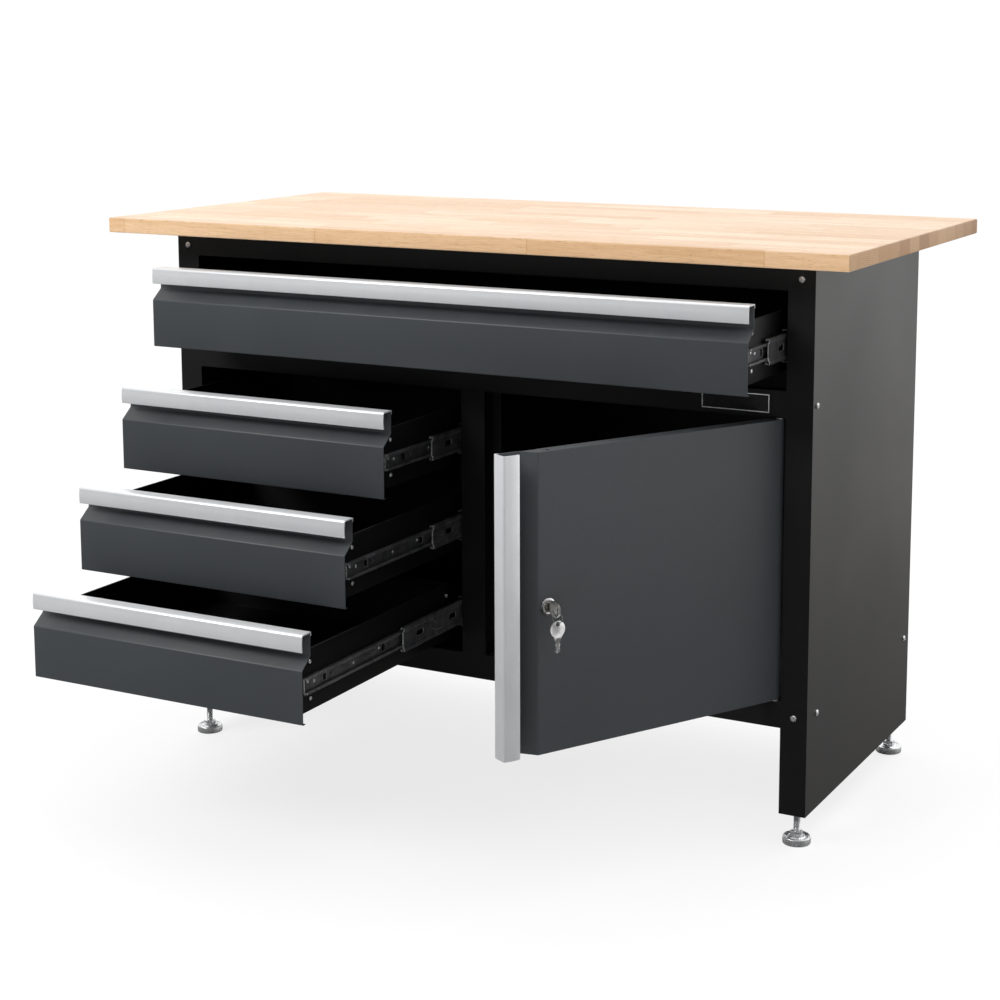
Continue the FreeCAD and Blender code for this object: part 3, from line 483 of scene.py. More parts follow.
# %% [markdown]
# Scuffs are thin, bent, broken lines. The borders between warped Voronoi cells are thin lines,
# and a coarse noise keeps only short stretches of them.

# %% Group: scuffs
g = group("Scuffs", [("Scale", "Float", 30.0), ("Amount", "Float", 0.5)], [("Mask", "Float")])
place = g.place()
warp = g.node("TexNoise", {"Vector": place, "Scale": 9.0, "Detail": 2.0}).outputs[1]
bent = g.vector_math("MULTIPLY_ADD", warp, (0.09, 0.09, 0.09), place)[0]
cells = g.node("TexVoronoi", {"Vector": bent, "Scale": g.start["Scale"]},
               feature="DISTANCE_TO_EDGE").outputs["Distance"]
thin = g.span(cells, 0.012, 0.0)
some = g.span(g.noise(place, 14.0, 2.0), 0.56, 0.66)
g.feed(g.end["Mask"], g.times(g.times(thin, some), g.start["Amount"]))
print("scuffs:", len(g.tree.nodes), "nodes")

# %% [markdown]
# Dust settles on what faces up. The mask is the face's own upward lean, broken by noise.

# %% Group: settled dust
g = group("Settled_dust", [("Amount", "Float", 0.2)], [("Mask", "Float")])
upward = g.split(g.node("NewGeometry").outputs["Normal"])[2]
cloud = g.span(g.noise(g.place(), 26.0, 5.0, 0.5), 0.35, 0.75)
specks = g.span(g.noise(g.place(), 700.0, 1.0), 0.62, 0.7)
both = g.plus(cloud, specks, clamp=True)
g.feed(g.end["Mask"], g.times(g.times(g.span(upward, 0.5, 0.95), both),
                             g.start["Amount"]))
print("settled dust:", len(g.tree.nodes), "nodes")

# %% [markdown]
# The worktop is a glued board: strips about 45 mm wide, each made of short blocks joined by
# fingers, every block from another tree. Rounding the place down to a strip and a block gives
# each block its own random tone.

# %% Group: glued board, its blocks
g = group("Glued_board", [("Strip", "Float", 0.045)],
          [("Color", "Color"), ("Height", "Float")])
place = g.place()
x, y, z = g.split(place)
side = g.split(g.node("NewGeometry").outputs["True Normal"])
across = g.math("DIVIDE", g.times(y, 0.9995), g.start["Strip"])
strip = g.math("FLOOR", across)
strip_random = g.node("TexWhiteNoise", {"W": strip}, noise_dimensions="1D").outputs[0]
fingers = g.math("PINGPONG", y, 0.0035)
length = g.plus(0.22, g.times(strip_random, 0.2))
slid = g.plus(x, g.times(strip_random, 7.3))
along = g.math("DIVIDE", g.plus(slid, g.times(fingers, 2.2)), length)
number = g.node("CombineXYZ", {0: strip, 1: g.math("FLOOR", along), 2: 0.0}).outputs[0]
tone, other = g.node("TexWhiteNoise", {"Vector": number}, noise_dimensions="3D").outputs[:2]
print("glued board: blocks numbered")

# %% [markdown]
# Along the board, stretched noise draws the figure and the fine grain, tiny dark dashes are
# the pores, and the glue shows as a thin darker line. The routed front edge is a little darker.

# %% Glued board: long grain
own_grain = g.vector_math("MULTIPLY_ADD", other, (37.0, 37.0, 37.0),
                          g.stretched((3.0, 62.0, 62.0)))[0]
figure = g.noise(own_grain, 1.0, 5.0, 1.1)
fine_grain = g.noise(g.stretched((22.0, 900.0, 900.0)), 1.0, 3.0)
pores = g.span(g.noise(g.stretched((70.0, 1500.0, 1500.0)), 1.0, 1.0), 0.64, 0.72)
face = g.ramp(tone, [(0.0, (0.69, 0.49, 0.335)), (0.22, (0.72, 0.535, 0.39)),
                     (0.5, (0.765, 0.59, 0.45)), (0.78, (0.80, 0.645, 0.51)),
                     (1.0, (0.72, 0.52, 0.375))])
face = g.mix(g.span(figure, 0.42, 0.66, 0.0, 0.5), face, (0.58, 0.38, 0.23))
face = g.mix(g.span(fine_grain, 0.44, 0.66, 0.0, 0.42), face, (0.50, 0.31, 0.17))
face = g.mix(g.times(pores, 0.7), face, (0.30, 0.16, 0.08))
seam_across = g.math("ABSOLUTE", g.minus(g.math("FRACT", across), 0.5))
seam_along = g.math("ABSOLUTE", g.minus(g.math("FRACT", along), 0.5))
seam = g.math("MAXIMUM", g.span(seam_across, 0.493, 0.4985), g.span(seam_along, 0.4965, 0.499))
face = g.mix(g.times(seam, 0.32), face, (0.36, 0.19, 0.09))
front_side = g.span(g.math("ABSOLUTE", side[1]), 0.5, 0.8)
face = g.mix(g.times(front_side, 0.75), face, (0.97, 0.83, 0.60), "MULTIPLY")
print("glued board: long grain drawn")

# %% [markdown]
# On the ends every strip shows as a block of end grain, with bent growth rings and open pores.

# %% Glued board: end grain
lean = g.times(g.minus(strip_random, 0.5), 2.4)
ring_place = g.plus(z, g.times(y, lean))
wobble = g.times(g.noise(place, 55.0, 3.0), 0.006)
rings = g.math("SINE", g.times(g.plus(ring_place, wobble), 2600.0))
end_random = g.node("TexWhiteNoise", {"W": g.plus(strip, 91.0)},
                    noise_dimensions="1D").outputs[0]
end = g.ramp(end_random, [(0.0, (0.33, 0.185, 0.095)), (0.35, (0.43, 0.26, 0.14)),
                          (0.7, (0.53, 0.34, 0.195)), (1.0, (0.59, 0.40, 0.24))])
end = g.mix(g.span(rings, -0.4, 1.0, 0.0, 0.6), end, (0.30, 0.16, 0.075))
end_pores = g.span(g.noise(place, 800.0, 1.0), 0.56, 0.66, 0.0, 0.75)
end = g.mix(end_pores, end, (0.15, 0.075, 0.035))
end_seam = g.times(g.span(seam_across, 0.485, 0.497), 0.6)
end = g.mix(end_seam, end, (0.15, 0.08, 0.04))
is_end = g.span(g.math("ABSOLUTE", side[0]), 0.55, 0.85)
g.feed(g.end["Color"], g.mix(is_end, face, end))
relief = g.minus(g.times(fine_grain, 0.5), pores)
g.feed(g.end["Height"], g.minus(relief, g.times(seam, 1.4)))
print("glued board:", len(g.tree.nodes), "nodes")

# %% [markdown]
# Each finish is then a Principled shader with the groups it needs.

# %% Build a material
finishes = {}


def finish(name, metallic=0.0, **fixed):
    """A new material; its shader's constant values are set on the shader's own sockets."""
    material = bpy.data.materials.new(name)
    material.use_nodes = True
    shader = Shader(material.node_tree)
    shader.surface = material.node_tree.nodes["Principled BSDF"].inputs
    shader.surface["Metallic"].default_value = metallic
    for label, value in fixed.items():
        label = label.replace("_", " ").title().replace("Ior", "IOR")
        shader.surface[label].default_value = value
    finishes[name] = material
    return shader


def bumped(shader, height, distance, strength=1.0, normal=None):
    inputs = {"Height": height, "Distance": distance, "Strength": strength}
    if normal is not None:
        inputs["Normal"] = normal
    shader.feed(shader.surface["Normal"], shader.node("Bump", inputs).outputs[0])


def coated(name, colour, bright, rough, dusty=0.12, gleam=0.5, scuffed=0.2, grain=0.0011):
    """Powder-coated steel: its colour, its lighter tone on grit, scuffs and edges (partly wear,
    partly a painted highlight), and its roughness.
    """
    s = finish(name, ior=1.5, specular_ior_level=gleam)
    coat = placed(s, "Powder_coat", Size=grain)
    edge = placed(s, "Worn_and_highlit_edges", Radius=0.0009, Amount=0.55)
    scuff = placed(s, "Scuffs", Scale=16.0, Amount=scuffed)
    dust = placed(s, "Settled_dust", Amount=dusty)
    darker = tuple(0.86 * c for c in colour)
    shade = s.mix(s.span(coat["Drift"], 0.35, 0.65), darker, colour)
    shade = s.mix(s.span(coat["Grit"], 0.56, 0.7, 0.0, 0.4), shade, bright)
    # The edges take the lighter tone: partly wear, partly a painted highlight.
    shade = s.mix(edge["Mask"], shade, bright)
    shade = s.mix(scuff["Mask"], shade, bright)
    shade = s.mix(dust["Mask"], shade, (0.34, 0.32, 0.29))
    s.feed(s.surface["Base Color"], shade)
    gloss = s.span(coat["Drift"], 0.3, 0.7, rough - 0.05, rough + 0.06)
    gloss = s.plus(gloss, s.times(dust["Mask"], 0.6), clamp=True)
    s.feed(s.surface["Roughness"], gloss)
    bumped(s, coat["Height"], 0.07 * grain, 0.6, edge["Normal"])


coated("frame_black", (0.0050, 0.0050, 0.0056), (0.030, 0.031, 0.034), 0.42)
coated("tray_black", (0.0042, 0.0042, 0.0048), (0.028, 0.029, 0.032), 0.5, 0.03, gleam=0.22)
coated("front_grey", (0.042, 0.048, 0.053), (0.115, 0.124, 0.134), 0.47, 0.05,
       scuffed=0.08, grain=0.0019)
print("coated steel:", list(finishes))

# %% [markdown]
# Beech is oiled, not varnished: a weak sheen, a little stain here and there, pale edges that are
# partly worn and partly a painted highlight.

# %% Wood
s = finish("beech_top", ior=1.45, specular_ior_level=0.22, coat_weight=0.02, coat_roughness=0.32)
board = placed(s, "Glued_board", Strip=0.045)
edge = placed(s, "Worn_and_highlit_edges", Radius=0.0022, Amount=0.25)
stain = s.span(s.noise(s.place(), 3.2, 4.0, 0.8), 0.4, 0.75, 0.0, 0.10)
shade = s.mix(stain, board["Color"], (0.60, 0.40, 0.24))
# Pale edges: partly wear, partly a painted highlight.
shade = s.mix(edge["Mask"], shade, (0.84, 0.66, 0.46))
s.feed(s.surface["Base Color"], shade)
s.feed(s.surface["Roughness"], s.span(board["Height"], -0.6, 0.4, 0.66, 0.48))
bumped(s, board["Height"], 0.00012, 0.6)
print("wood ready")

# %% [markdown]
# The bare metals differ in their lines and in how they mirror: satin anodised aluminium,
# bright zinc with its cloudy crystals, dark slide steel whose edges are lighter, partly as bare
# cut metal and partly as a painted highlight, and nickel.

# %% Bare metals


def metal(name, colour, shadow, rough, stretch, lines=0.5, highlight_and_wear_tone=None, metallic=1.0,
          edge_size=0.0005, cloud=40.0, scuffed=0.3, relief=0.00003):
    """Bare or plated metal with drawn lines, clouds, scuffs, and brighter edges that are partly
    wear and partly a painted highlight.
    """
    s = finish(name, metallic=metallic)
    line = placed(s, "Drawn_lines", Stretch=stretch)["Lines"]
    edge = placed(s, "Worn_and_highlit_edges", Radius=edge_size, Amount=0.9)
    scuff = placed(s, "Scuffs", Scale=60.0, Amount=scuffed)
    clouds = s.noise(s.place(), cloud, 4.0, 0.3)
    shade = s.mix(s.span(clouds, 0.35, 0.68), colour, shadow)
    shade = s.mix(s.span(line, 0.4, 0.62, 0.0, lines), shade, shadow)
    # Edges and scuffs take the lighter tone: the scuffs and part of the edge tone are wear, the
    # rest is a painted highlight.
    for mask in (edge["Mask"], scuff["Mask"]):
        shade = s.mix(mask, shade, highlight_and_wear_tone or colour)
    s.feed(s.surface["Base Color"], shade)
    gloss = s.plus(s.span(clouds, 0.3, 0.7, rough - 0.05, rough + 0.07),
                   s.span(line, 0.35, 0.65, -0.04, 0.05), clamp=True)
    s.feed(s.surface["Roughness"], gloss)
    bumped(s, line, relief, 0.4, edge["Normal"])


metal("aluminium", (0.85, 0.86, 0.87), (0.75, 0.76, 0.78), 0.36, (5.0, 1600.0, 1600.0),
      lines=0.3, metallic=0.5, cloud=12.0, scuffed=0.1)
# The door handle's aluminium: its lines run upright, and its darker tone is painted shade.
metal("aluminium_upright_shaded", (0.78, 0.79, 0.80), (0.69, 0.70, 0.72), 0.38,
      (1600.0, 1600.0, 5.0), lines=0.3, metallic=0.5, cloud=12.0, scuffed=0.1)
metal("slide_steel", (0.15, 0.15, 0.155), (0.065, 0.067, 0.072), 0.34, (900.0, 6.0, 900.0),
      lines=0.6, highlight_and_wear_tone=(0.72, 0.73, 0.75), edge_size=0.0011, metallic=0.6, cloud=60.0,
      scuffed=0.8)
metal("zinc", (0.80, 0.81, 0.82), (0.66, 0.67, 0.69), 0.26, (90.0, 90.0, 90.0),
      lines=0.2, highlight_and_wear_tone=(0.95, 0.95, 0.96), metallic=0.75, cloud=60.0, scuffed=0.1,
      relief=0.000004)
metal("lock_chrome", (0.80, 0.80, 0.81), (0.66, 0.66, 0.68), 0.16, (400.0, 400.0, 400.0),
      lines=0.15, highlight_and_wear_tone=(0.92, 0.92, 0.92), cloud=90.0, scuffed=0.5, relief=0.000006)
metal("key_steel", (0.38, 0.38, 0.38), (0.28, 0.28, 0.28), 0.46, (700.0, 700.0, 60.0),
      lines=0.4, highlight_and_wear_tone=(0.82, 0.82, 0.81), cloud=150.0, scuffed=0.9)
# The key in the lock: a darker copy of the key steel, which is painted shade, with wide painted
# highlights on its edges.
metal("key_steel_shaded", (0.08, 0.078, 0.072), (0.05, 0.048, 0.045), 0.36, (60.0, 700.0, 700.0),
      lines=0.4, highlight_and_wear_tone=(0.95, 0.94, 0.90), edge_size=0.0014, cloud=150.0, scuffed=0.9)
metal("lock_plug", (0.30, 0.28, 0.25), (0.16, 0.15, 0.13), 0.38, (400.0, 400.0, 400.0),
      lines=0.5, highlight_and_wear_tone=(0.80, 0.79, 0.76), edge_size=0.0006, cloud=300.0, scuffed=0.6)
print("metals ready:", len(finishes), "finishes")

# %% Badge enamel, its printed line, and nylon
for name, colour, rough in (("badge", (0.008, 0.008, 0.009), 0.22),
                            ("badge_line", (0.72, 0.73, 0.74), 0.35),
                            ("nylon", (0.62, 0.61, 0.57), 0.48)):
    s = finish(name, ior=1.5)
    clouds = s.noise(s.place(), 120.0, 4.0)
    darker = tuple(0.8 * c for c in colour)
    shade = s.mix(s.span(clouds, 0.35, 0.65), colour, darker)
    dust = placed(s, "Settled_dust", Amount=0.1)["Mask"]
    s.feed(s.surface["Base Color"], s.mix(dust, shade, (0.3, 0.29, 0.27)))
    s.feed(s.surface["Roughness"], s.span(clouds, 0.3, 0.7, rough - 0.05, rough + 0.08))
    bumped(s, clouds, 0.00002, 0.3)
print("small finishes ready")

# %% [markdown]
# Every part of the engineering model first gets the finish that its record names. A part that
# is modelled again below is hidden later.

# %% Dress the engineering model
for entry in frame["record"]["subparts"]:
    for slot in nodes[entry["node"]].material_slots:
        slot.material = finishes[entry["material_slot"]]
nodes["lock_plug"].material_slots[0].material = finishes["lock_plug"]
print("dressed", len(nodes), "nodes")

# %% [markdown]
# ## Worktop
# The board is a plain slab whose edges were broken with a router. A cube set to its two
# corners, with a five-step bevel, gives the edge a true rounding that catches the light.

# %% Worktop


def kept(piece, body, slot, replaced=(), finish_name=None):
    """Give a piece its finish, its body, and the parts it stands for."""
    piece.data.materials.clear()
    piece.data.materials.append(finishes[finish_name or slot])
    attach(piece, body)
    if replaced:
        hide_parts(*replaced)
    print(piece.name, len(piece.data.polygons), "faces, rides on", body)
    return piece


board_low, board_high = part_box("worktop")
board = block("worktop_board", board_low, board_high)
soften(board, 2.5 * MM, 5)
kept(board, "cabinet", "beech_top", ["worktop"])

# %% [markdown]
# ## Drawer fronts
# A front is one sheet: a short lip under it, the flat face, a slope that makes room for the
# fingers, and an upright strip that carries the handle. It is folded the way a press brake
# does it, flat after flat, and its bends are then rounded.

# %% Drawer fronts
SHEET = 1.2 * MM
BEND_DROP = 48.6 * MM
SLOPE_RUN = 20 * MM
SLOPE_RISE = 16 * MM
HANDLE_WALL = 1.8 * MM
FRONT_LIP = 6 * MM
DRAWERS = ("wide_drawer", "upper_drawer", "middle_drawer", "lower_drawer")


def front_path(face, low, top):
    bend = top - BEND_DROP
    behind = face + SLOPE_RUN
    return [(face + FRONT_LIP, low), (face, low), (face, bend),
            (behind, bend + SLOPE_RISE), (behind, top - HANDLE_WALL)]


for drawer in DRAWERS:
    low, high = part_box(drawer + "_front")
    top = high.z + HANDLE_WALL
    front = folded(drawer + "_face", front_path(low.y, low.z, top), low.x, high.x, SHEET)
    kept(front, drawer, "front_grey", [drawer + "_front"])

# %% [markdown]
# ## Handles
# The handle is an aluminium extrusion pushed over the edge of the sheet. Its face bows
# slightly, its upper edge is generously round, and a small hook holds it behind. The bow is
# five narrow flats that shade as one; only the real corners are rounded.

# %% Handles
HANDLE_FACE = 24 * MM
HANDLE_BOW = 0.8 * MM
HANDLE_ROUND = 3.6 * MM
HANDLE_DEPTH = 23 * MM
HANDLE_HOOK = 5.5 * MM
HOOK_ROUND = 1.2 * MM
BOW_FLATS = 5


def handle_path(face, top):
    straight = HANDLE_FACE - HANDLE_ROUND - 1.5 * MM
    path = []
    for step in range(BOW_FLATS + 1):
        share = step / BOW_FLATS
        path.append((face + HANDLE_BOW * (2 * share - 1) ** 2,
                     top - HANDLE_FACE + share * straight))
    path += [(face + HANDLE_BOW, top), (face + HANDLE_DEPTH, top),
             (face + HANDLE_DEPTH, top - HANDLE_HOOK)]
    return path


def handle_profile(name, face, top, low, high):
    """Fold the profile, with a wide rounding on its front edge and a small one behind."""
    return folded(name, handle_path(face, top), low, high, HANDLE_WALL,
                  bend=(HANDLE_ROUND, HOOK_ROUND), trim=0.25 * MM)


for drawer in DRAWERS:
    low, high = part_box(drawer + "_handle")
    handle = handle_profile(drawer + "_grip", low.y, high.z, low.x, high.x)
    kept(handle, drawer, "aluminium", [drawer + "_handle"])

# %% [markdown]
# ## Trays
# A tray is an open steel box with rounded corners behind, its upper edge turned over into a
# hem so that it doesn't cut. Its front end is trimmed to the slope of the drawer front.

# %% Trays
HEM_HEIGHT = 9 * MM
HEM_WALL = 1.2 * MM
TRAY_CORNER = 4 * MM
TRAY_GAP = 0.58 * MM


def tray_cutter(tray_low, tray_high, top):
    """What the slope of the front leaves out of a tray."""
    foot = top - BEND_DROP - TRAY_GAP
    behind = tray_low.y + SLOPE_RUN
    cutter = block("cutter", (tray_low.x - 10 * MM, tray_low.y - 5 * MM, foot - 4 * MM),
                   (tray_high.x + 10 * MM, behind, tray_high.z + 10 * MM))
    editing(cutter)
    move_vertices(lambda v: v.co.y > behind - MM and v.co.z < foot,
                  (0, 0, SLOPE_RISE + 4 * MM))
    done()
    return cutter


for drawer in DRAWERS:
    low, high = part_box(drawer + "_tray")
    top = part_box(drawer + "_handle")[1].z
    tray = block(drawer + "_box", low, high)
    editing(tray)
    choose("EDGE", lambda e: abs((e.verts[0].co - e.verts[1].co).z) > 10 * MM and
           e.verts[0].co.y > low.y + 10 * MM)
    bpy.ops.mesh.bevel(offset=TRAY_CORNER, segments=4, affect="EDGES")
    choose("FACE", lambda f: f.normal.z > 0.9)
    bpy.ops.mesh.delete(type="FACE")
    done()
    apply(tray, "SOLIDIFY", thickness=SHEET, offset=-1, use_even_offset=True)
    hem_low = high.z - HEM_HEIGHT
    left, right, back = low.x + SHEET, high.x - SHEET, high.y - SHEET
    side_end = high.y - TRAY_CORNER
    side_hems = [block("hem", (x, low.y, hem_low), (x + HEM_WALL, side_end, high.z))
                 for x in (left, right - HEM_WALL)]
    back_hem = block("hem", (left + 3 * MM, back - HEM_WALL, hem_low),
                     (right - 3 * MM, back, high.z))
    hems = [*side_hems, back_hem]
    for part in (*side_hems, tray):
        drilled(part, tray_cutter(low, high, top))
    for part in (tray, *hems):
        soften(part, 0.35 * MM)
    tray = joined([tray, *hems], drawer + "_box")
    kept(tray, drawer, "tray_black", [drawer + "_tray"])

# %% [markdown]
# ## Screws and bolts
# A pan head is turned: a disc drawn up and in until it closes in a low dome. A cross or a
# hexagon is then cut into it. Each kind is made once, pointing up, and copied to its places.

# %% Pan heads


def pan_head(name, radius, height, recess, shank_radius=0.0, shank_length=0.0):
    """A head that stands on z = 0, with its recess, and a shank under it."""
    steps = [(0.96, 0.0), (1.0, 0.08), (1.0, 0.34), (0.96, 0.56), (0.86, 0.76), (0.7, 0.9),
             (0.48, 0.98), (0.2, 1.0)]
    head = ring_up([(radius * wide, height * up) for wide, up in steps], name, 32)
    if recess == "hexagon":
        drilled(head, cylinder("cutter", 0.38 * radius, 0.42 * height, 2 * height, 6))
    else:
        long, thin = 0.52 * radius, 0.13 * radius
        for half_x, half_y in ((long, thin), (thin, long)):
            drilled(head, block("cutter", (-half_x, -half_y, 0.5 * height),
                                (half_x, half_y, 2 * height)))
    if shank_length:
        shank = cylinder("shank", shank_radius, -shank_length, 0.2 * height, 20)
        head = joined([head, shank], name)
    soften(head, 0.06 * MM, angle=40)
    return head


def facing(point, direction, roll=0.0):
    """The matrix that stands a piece on a point, pointing along a direction."""
    turn = Vector(direction).to_track_quat("Z", "Y").to_matrix().to_4x4()
    return Matrix.Translation(point) @ turn @ Matrix.Rotation(roll, 4, "Z")


def scattered(master, spots, name):
    """Copies of a master at several places, as one piece. Each is turned by its own angle."""
    copies = [copied(master, facing(point, direction, 0.7 * number), name)
              for number, (point, direction) in enumerate(spots)]
    removed(master)
    return joined(copies, name)


LEG_BOLT_IN = 19.5 * MM
LEG_BOLTS_UP = (798 * MM, 188 * MM)
SIDE_BOLTS = mm((-207, 626), (-184, 188), (215, 188))
low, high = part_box("right_side_panel")
leg_spots = [((hand * (high.x - LEG_BOLT_IN), low.y, z), (0, -1, 0))
             for hand in (-1, 1) for z in LEG_BOLTS_UP]
side_spots = [((hand * high.x, y, z), (hand, 0, 0))
              for hand in (-1, 1) for y, z in SIDE_BOLTS]
bolt = pan_head("bolt", 4.4 * MM, 2.6 * MM, "hexagon", 2.5 * MM, 11 * MM)
bolts = scattered(bolt, leg_spots + side_spots, "bolt_set")
kept(bolts, "cabinet", "zinc", ["frame_bolts"])

# %% [markdown]
# Every tray carries eight cross-head screws, four on each side, above and below its slide.

# %% Screws on the trays
TRAY_UNDER_SLIDE = 37.5 * MM
SCREW_FRONT, SCREW_BACK = 26 * MM, 10 * MM
SCREW_DOWN, SCREW_UP = 20.4 * MM, 30 * MM
for drawer in DRAWERS:
    low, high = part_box(drawer + "_tray")
    middle = low.z + TRAY_UNDER_SLIDE
    spots = [((x, y, z), (hand, 0, 0))
             for y in (low.y + SCREW_FRONT, high.y - SCREW_BACK)
             for z in (middle - SCREW_DOWN, middle + SCREW_UP)
             for x, hand in ((low.x, -1), (high.x, 1))]
    screw = pan_head("screw", 3 * MM, 1.6 * MM, "cross")
    screws = scattered(screw, spots, drawer + "_pan_screws")
    kept(screws, drawer, "zinc", [drawer + "_screws"])

# %% [markdown]
# ## Slides
# The three steel members of each slide are already folded right. What is missing is what
# catches the eye at their ends. The sheet was cut there after plating, so the channel's
# outline shows as a bright line, and rivets and balls shine beside it. A short collar with
# the channel's own section, folded from thicker sheet, gives the bright outline.

# %% Bright ends of the slide members
RAIL_SETBACK = 9.6 * MM
COLLAR_START = 0.3 * MM
ACROSS = Matrix.Rotation(math.radians(-90), 4, "Z")
DRAWER_RAIL = mm((6, -8.6), (6, -11.5), (0, -11.5), (0, 11.5), (6, 11.5), (6, 8.6))
MIDDLE_RAIL = mm((3.6, 14.4), (3.6, 17.4), (10.4, 17.4), (10.4, 13.0), (8.4, 10.6),
                 (8.4, -10.6), (10.4, -13.0), (10.4, -17.4), (3.6, -17.4), (3.6, -14.4))


def collar(outline, wall_x, hand, middle, y_low, y_high):
    """A channel's bright end. The outline's pairs are out from the tray, and up."""
    path = [(wall_x + hand * out, middle + up) for out, up in outline]
    if hand < 0:
        path.reverse()
    end = folded("collar", path, -y_high, -y_low, 1.6 * MM, bend=0.8 * MM, trim=0.2 * MM)
    settle(end, ACROSS)
    return end


def slide_lines(drawer):
    """Where a drawer's slides run: the tray's sides with their hands, the slides' height,
    and the front ends of the drawer rails and of the middle members."""
    low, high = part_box(drawer + "_tray")
    member_low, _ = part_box(drawer + "_middle_rails")
    return (((low.x, -1), (high.x, 1)), low.z + TRAY_UNDER_SLIDE, low.y + RAIL_SETBACK,
            member_low.y)


for drawer in DRAWERS:
    sides, middle, rail_y, member_y = slide_lines(drawer)
    for outline, y, body, length in ((DRAWER_RAIL, rail_y, drawer, 1.6 * MM),
                                     (MIDDLE_RAIL, member_y, drawer + "_slide", 2.2 * MM)):
        ends = [collar(outline, x, hand, middle, y - COLLAR_START, y + length)
                for x, hand in sides]
        kept(joined(ends, body + "_bright_ends"), body, "zinc")

# %% [markdown]
# A rivet is a low turned dome. The balls run in two rows, in the channels of the middle member.

# %% Rivets and balls
RIVETS = mm((9, 5), (24, 2), (120, 0), (186, 3))
BALL_OUT, BALL_UP = 3.6 * MM, 13.75 * MM
BALLS_BACK = [(6 + 9 * step) * MM for step in range(9)]
rivet = ring_up(mm((2.5, 0), (2.5, 0.6), (2.1, 1.0), (1.1, 1.3), (0.3, 1.35)), "rivet", 24)
smoothed(rivet, 50)
deselect()
bpy.ops.mesh.primitive_uv_sphere_add(segments=12, ring_count=8, radius=1.55 * MM)
ball = added("ball")
bpy.ops.object.shade_smooth()
for drawer in DRAWERS:
    sides, middle, rail_y, member_y = slide_lines(drawer)
    rivets = [copied(rivet, facing((x + hand * SHEET, rail_y + back, middle + up), (hand, 0, 0)),
                     "rivet") for x, hand in sides for back, up in RIVETS]
    kept(joined(rivets, drawer + "_rivets"), drawer, "zinc")
    balls = [copied(ball, Matrix.Translation(
        (x + hand * BALL_OUT, member_y + back, middle + up * BALL_UP)), "ball")
        for x, hand in sides for up in (-1, 1) for back in BALLS_BACK]
    kept(joined(balls, drawer + "_balls"), drawer + "_slide", "zinc")
removed(rivet)
removed(ball)

# %% [markdown]
# ## Door
# The door is a pan: one sheet with the hinge edge folded back and in, the lock face, the same
# slope as the drawers and a strip for the handle, and a flange with a lip across its top and
# its foot. It is built shut, around its hinge pin, and then turned open as one.

# %% Door sheet
PIN_X, PIN_Y = 477 * MM, -216 * MM
DOOR_OPEN = math.radians(61.1)
HINGE = Matrix.Translation((PIN_X, PIN_Y, 0)) @ Matrix.Rotation(DOOR_OPEN, 4, "Z")
UPRIGHT = Matrix.Rotation(math.radians(-90), 4, "Y")
DOOR_FACE = -6 * MM
DOOR_EDGE = 449 * MM
HINGE_EDGE = -4 * MM
PAN_BACK = 14 * MM
DOOR_BEND = 398 * MM
LOCK_X = -383 * MM
LOCK_Z = 404 * MM
LOCK_HOLE = 9.4 * MM
LIP = 10 * MM
PIN_HOLE = 2.6 * MM
VENT_HOLE = 2.5 * MM
VENT_SPOT = (-378 * MM, 3 * MM, 0)
FLANGE_POINT = 14.08 * MM
DOOR_LOW, DOOR_TOP = (corner.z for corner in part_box("door_panel"))

path = [(PAN_BACK, HINGE_EDGE + LIP), (PAN_BACK, HINGE_EDGE), (DOOR_FACE, HINGE_EDGE),
        (DOOR_FACE, DOOR_BEND), (DOOR_FACE + SLOPE_RUN, DOOR_BEND + SLOPE_RISE),
        (DOOR_FACE + SLOPE_RUN, DOOR_EDGE - HANDLE_WALL)]
skin = folded("door_skin", path, DOOR_LOW, DOOR_TOP, SHEET)
settle(skin, UPRIGHT)


print("door sheet", len(skin.data.polygons), "faces")

# %% [markdown]
# The flanges close the pan at its top and foot. Each has a hole for the hinge pin and a small
# one near the handle, follows the slope with its front corner, and ends in a lip.

# %% Door flanges
lock_hole = cylinder("cutter", LOCK_HOLE, -30 * MM, 30 * MM, 48)
settle(lock_hole, facing((LOCK_X, 0, LOCK_Z), (0, 1, 0)))
drilled(skin, lock_hole)
parts = [skin]
for z, lip_low in ((DOOR_LOW, DOOR_LOW), (DOOR_TOP - SHEET, DOOR_TOP - LIP)):
    flange = block("flange", (-(DOOR_BEND - 0.6 * MM), DOOR_FACE + SHEET, z),
                   (-HINGE_EDGE - SHEET, PAN_BACK - SHEET, z + SHEET))
    editing(flange)
    move_vertices(lambda v: v.co.y > 10 * MM and v.co.x < -300 * MM, (-FLANGE_POINT, 0, 0))
    done()
    for radius, spot in ((PIN_HOLE, (0, 0, 0)), (VENT_HOLE, VENT_SPOT)):
        hole = cylinder("cutter", radius, DOOR_LOW - 10 * MM, DOOR_TOP + 10 * MM)
        settle(hole, Matrix.Translation(spot))
        drilled(flange, hole)
    lip = block("lip", (-(DOOR_BEND - LIP), PAN_BACK - SHEET, lip_low),
                (-HINGE_EDGE - SHEET, PAN_BACK, lip_low + LIP))
    for part in (flange, lip):
        soften(part, 0.3 * MM)
        parts.append(part)
door = joined(parts, "door_skin")
settle(door, HINGE)
kept(door, "door", "front_grey", ["door_panel"])

# %% [markdown]
# The door's handle is the same profile as on the drawers, stood upright.

# %% Door handle
grip = handle_profile("door_grip", DOOR_FACE, DOOR_EDGE, DOOR_LOW, DOOR_TOP)
settle(grip, HINGE @ UPRIGHT)
# Its finish is the handles' aluminium made darker: painted shade.
kept(grip, "door", "aluminium", ["door_handle"], "aluminium_upright_shaded")

# %% [markdown]
# ## Hinge pins
# Each pin stands in a rail and carries a pale nylon washer, so that steel doesn't run on
# steel. The washer under the door is the small light dot at the foot of the hinge.

